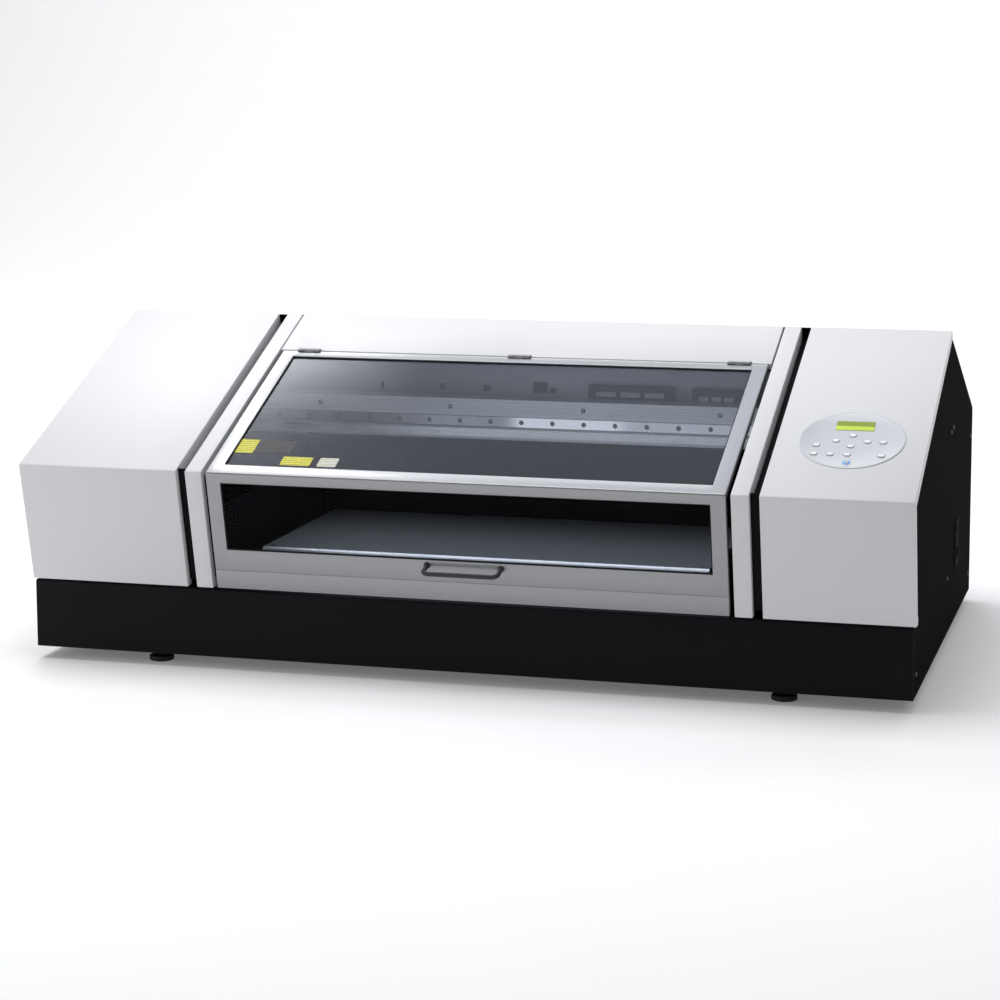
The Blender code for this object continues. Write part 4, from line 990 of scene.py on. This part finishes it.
boss_places = [(x, leg_top[0], leg_z) for x in (left_leg, right_leg)]
front_out = (0.0, -up_front[1], up_front[0])
bosses = turned("lift_bar_bosses", boss, boss_places, front_out, 24)
placed(bosses, dark_steel, "front_cover", "dark_steel")
hinge_steel = metal("hinge_steel", (0.36, 0.36, 0.37), 0.38, (300.0, 700.0, 700.0), 0.00003, 0.6)
for place in ("left", "middle", "right"):
    dress(hinge_steel, f"hinge_leaf_{place}", f"hinge_bracket_{place}")

# ----------------------------------------
# Notices on the sloped pane. Printed film stuck to its outside, two yellow, one black and one white,
# each with plain bars in place of any wording.


def film(name, colour, pitch, bar_colour):
    """A material for printed film: a plain ground with bars at an even pitch along the slope."""
    paint = Paint(name, {"Specular IOR Level": 0.12})
    grain = paint.noise(300.0, 2.0)
    up = paint.along("Y") * float(up_slope[0]) + paint.along("Z") * float(up_slope[1])
    bars = ((up % pitch) < pitch * 0.30) * (grain > 0.40)
    return paint.finish(paint.blend(bars, (*colour, 1.0), (*bar_colour, 1.0)), 0.34 + 0.08 * grain)


def notice(name, x_span, slope_span, material):
    """Film 0.15 mm thick with round corners, lying on the outside of the sloped pane."""
    pane_top = -skin_thickness - 0.0003
    ring = rounded_ring(x_span[1] - x_span[0], slope_span[1] - slope_span[0], 0.002, 4)
    x = (x_span[0] + x_span[1]) / 2 + ring[:, 0]
    along = (slope_span[0] + slope_span[1]) / 2 + ring[:, 1]
    points = np.stack([on_slope(x, along, pane_top + lift) for lift in (0.00005, 0.0002)])
    placed(skin(name, points, around=True, caps=True), material, "front_cover", "white_plastic")


yellow_film = film("yellow_film", (0.66, 0.62, 0.05), 0.0062, (0.10, 0.09, 0.02))
white_film = film("white_film", (0.62, 0.62, 0.52), 0.0050, (0.20, 0.20, 0.18))
black_film = film("black_film", (0.012, 0.012, 0.014), 0.0070, (0.05, 0.05, 0.05))
notice("notice_hands", (-0.403, -0.369), (0.072, 0.117), yellow_film)
notice("notice_hands_side", (-0.366, -0.300), (0.076, 0.117), black_film)
notice("notice_lamp", (-0.308, -0.254), (0.038, 0.066), yellow_film)
notice("notice_care", (-0.241, -0.207), (0.038, 0.066), white_film)

# ----------------------------------------
# The operator panel. A satin grey disc let into the right cover, with a backlit display behind a clear
# window, ten white keys and a power key with a blue lit ring.
panel_low, panel_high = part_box("control_panel")
panel_x = (panel_low.x + panel_high.x) / 2
panel_radius = (panel_high.x - panel_low.x) / 2
panel_s = 0.182
slope_out = np.array([0.0, -up_slope[1], up_slope[0]])
panel_centre = on_slope(panel_x, panel_s)
panel_paint = Paint("satin_panel", {"Metallic": 0.35, "Coat Weight": 0.2, "Coat Roughness": 0.2})
panel_grain = panel_paint.noise(900.0, 2.0)
panel_drift = panel_paint.noise(8.0, 2.0)
panel_colour = panel_paint.blend(panel_drift, (0.42, 0.43, 0.45, 1.0), (0.47, 0.48, 0.50, 1.0))
panel_gloss = 0.36 + 0.10 * (panel_grain - 0.5)
satin = panel_paint.finish(panel_colour, panel_gloss, panel_paint.relief(panel_grain, 0.00003))
disc_face = 0.0008
disc_rim = 0.0011
disc = [
    (panel_radius, -0.0040),
    (panel_radius, 0.0004),
    (panel_radius - 0.0004, 0.0009),
    (panel_radius - 0.0012, disc_rim),
    (panel_radius - 0.0040, disc_rim),
    (panel_radius - 0.0048, disc_face),
    (panel_radius * 0.4, disc_face),
    (0.0010, disc_face),
]
panel_disc = turned("panel_disc", disc, panel_centre, slope_out, 128)
placed(panel_disc, satin, "chassis", "grey_plastic", "control_panel")
slope_frame = Matrix(
    (
        (1.0, 0.0, 0.0, 0.0),
        (0.0, up_slope[0], -up_slope[1], fold[0]),
        (0.0, up_slope[1], up_slope[0], fold[1]),
        (0.0, 0.0, 0.0, 1.0),
    )
)


def slope_plate(name, x, s, size, radius, bottom, top, edge):
    """A plate with round corners on the slope, between two lifts off its face."""
    low = (x - size[0] / 2, s - size[1] / 2, bottom)
    high = (x + size[0] / 2, s + size[1] / 2, top)
    return housing(name, low, high, radius, edge, slope_frame, steps=4)


display_size = (0.064, 0.028)
display_s = panel_s + 0.044
lcd = Paint("backlit_display", {"Specular IOR Level": 0.15, "Emission Strength": 0.22})
lcd_glow = lcd.noise(30.0, 1.0)
cell = 0.0008
lcd_cells = ((lcd.along("X") % cell) < cell * 0.12) * 0.25
upper_row = lcd.along("Z") > float(on_slope(0.0, display_s + 0.002)[2])
lcd_colour = lcd.blend(lcd_glow, (0.42, 0.55, 0.04, 1.0), (0.54, 0.68, 0.09, 1.0))
lcd_rows = lcd.blend(upper_row * 0.8, lcd_colour, (0.13, 0.19, 0.02, 1.0))
lcd_lit = lcd.finish(lcd.blend(lcd_cells, lcd_rows, (0.20, 0.32, 0.02, 1.0)), lit=True)
screen_spot = (panel_x, display_s, display_size)
screen = slope_plate("display_screen", *screen_spot, 0.0015, 0.0010, 0.0015, 0.0002)
placed(screen, lcd_lit, "chassis", "display_glass", "display")

key_plastic = powder_coat("key_plastic", (0.82, 0.82, 0.81), 800.0, 0.30, 0.5, 0.00003)
key_well = powder_coat("key_well", (0.08, 0.08, 0.085), 900.0, 0.5, 0.3, 0.00005)
key_length = 0.008
key_bottom = -0.0012
well_margin = 0.0016


def key_place(name):
    """A key's x, its distance up the slope and its width, from its node's box."""
    low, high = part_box(name)
    middle = np.array((low + high) / 2)
    return middle[0], float((middle[1:] - fold) @ up_slope), high.x - low.x


key_names = [name for name in frame["nodes"] if name.startswith("key_") and name != "key_power"]
for name in sorted(key_names):
    x, s, width = key_place(name)
    size = (width, key_length)
    cap = slope_plate(f"{name}_cap", x, s, size, 0.0030, key_bottom, 0.0022, 0.0011)
    placed(cap, key_plastic, name, "white_plastic", name)
    size = (width + well_margin, key_length + well_margin)
    well = slope_plate(f"{name}_surround", x, s, size, 0.0036, 0.0002, 0.0010, 0.0001)
    placed(well, key_well, "chassis", "grey_plastic")
x, s, width = key_place("key_power")
radius = width / 2
power_centre = on_slope(x, s)
dome = [
    (radius, key_bottom),
    (radius, 0.0015),
    (radius * 0.9, 0.0021),
    (radius * 0.5, 0.0024),
    (0.0004, 0.0025),
]
power_cap = turned("power_key_cap", dome, power_centre, slope_out, 32)
placed(power_cap, grey_moulding, "key_power", "grey_plastic", "key_power")
blue = Paint("blue_light_ring", {"Emission Strength": 0.5, "Specular IOR Level": 0.2})
blue_colour = blue.blend(blue.noise(60.0, 1.0), (0.08, 0.26, 0.62, 1.0), (0.16, 0.38, 0.80, 1.0))
ring_steps = ((0.0022, 0.0002), (0.0022, 0.0011), (0.0016, 0.0014), (0.0006, 0.0012))
ring_profile = [(radius + out, up) for out, up in ring_steps]
blue_ring = turned("power_key_light", ring_profile, power_centre, slope_out, 32)
placed(blue_ring, blue.finish(blue_colour, lit=True), "chassis", "display_glass")

# ----------------------------------------
# The mains inlet. A black moulded appliance inlet in the right side panel, with a rocker switch above
# its pins.
inlet_moulding = powder_coat("inlet_moulding", (0.0060, 0.0060, 0.0070), 1200.0, 0.80, 0.03, 0.00008)
dress(inlet_moulding, "power_inlet", "power_switch")

# ----------------------------------------
# The studio. A pale sweep that curves up behind, a big soft light overhead, weaker ones behind and on
# the left, and the camera.
sweep_matt = {"Roughness": 0.9, "Specular IOR Level": 0.0, "Emission Strength": 0.14}
sweep_paint = Paint("studio_sweep", sweep_matt)
sweep_grain = sweep_paint.noise(6.0, 2.0)
sweep_white = sweep_paint.blend(sweep_grain, (0.90, 0.90, 0.90, 1.0), (0.92, 0.92, 0.92, 1.0))
sweep_angle = np.linspace(0.0, math.pi / 2, 17)
sweep_radius = 3.0
sweep_end = 9.0
sweep_curve = sweep_end - sweep_radius + sweep_radius * np.sin(sweep_angle)
sweep_y = np.concatenate([[-sweep_end], sweep_curve, [sweep_end]])
sweep_z = np.concatenate([[0.0], sweep_radius * (1 - np.cos(sweep_angle)), [sweep_end]])
sweep_grid = np.array([[(x, y, z) for x in (-12.0, 12.0)] for y, z in zip(sweep_y, sweep_z)])
sweep = skin("studio_floor", sweep_grid)
sweep.data.materials.append(sweep_paint.finish(sweep_white, lit=True))
sweep.data.shade_smooth()


def softbox(name, place, target, size, power, colour):
    """A rectangular soft light at a place, turned to face the target."""
    light = bpy.data.lights.new(name, "AREA")
    light.shape = "RECTANGLE"
    light.size = size[0]
    light.size_y = size[1]
    light.energy = power
    light.color = colour
    lamp = bpy.data.objects.new(name, light)
    bpy.context.collection.objects.link(lamp)
    lamp.location = place
    lamp.rotation_euler = (Vector(target) - Vector(place)).to_track_quat("-Z", "Y").to_euler()


white_light = (1.0, 1.0, 1.0)
softbox("overhead_softbox", (-0.7, -0.3, 3.4), (-0.7, -0.3, 0.0), (3.4, 2.2), 84.0, white_light)
softbox("backdrop_softbox", (0.0, 6.2, 5.0), (0.0, 6.2, 0.0), (12.0, 4.0), 270.0, white_light)
softbox("left_softbox", (-3.2, -2.6, 1.0), (-0.5, 0.0, 0.2), (1.4, 1.4), 24.0, white_light)
softbox("veil_softbox", (-0.7, 1.95, 3.4), (-0.7, 1.95, 0.0), (3.4, 1.5), 22.0, (0.80, 0.86, 1.0))
softbox("gleam_softbox", (-1.90, 2.20, 3.3), (-0.3, -0.1, 0.5), (0.8, 0.6), 16.0, white_light)

world = bpy.data.worlds.new("studio_air")
world.use_nodes = True
world.node_tree.nodes["Background"].inputs["Color"].default_value = (0.93, 0.96, 1.0, 1.0)
world.node_tree.nodes["Background"].inputs["Strength"].default_value = 0.32
bpy.context.scene.world = world
bpy.context.scene.view_settings.view_transform = "Standard"

camera_data = bpy.data.cameras.new("camera")
camera_data.sensor_width = 36.0
camera_data.lens = 93.24
camera_data.shift_y = -0.10
camera = bpy.data.objects.new("camera", camera_data)
bpy.context.collection.objects.link(camera)
pan = math.radians(15.84)
tilt = math.radians(-7.84)
lean = math.radians(-0.26)
camera.matrix_world = (
    Matrix.Translation((1.251, -4.5487, 1.082))
    @ Matrix.Rotation(pan, 4, "Z")
    @ Matrix.Rotation(math.pi / 2 + tilt, 4, "X")
    @ Matrix.Rotation(lean, 4, "Z")
)
bpy.context.scene.camera = camera
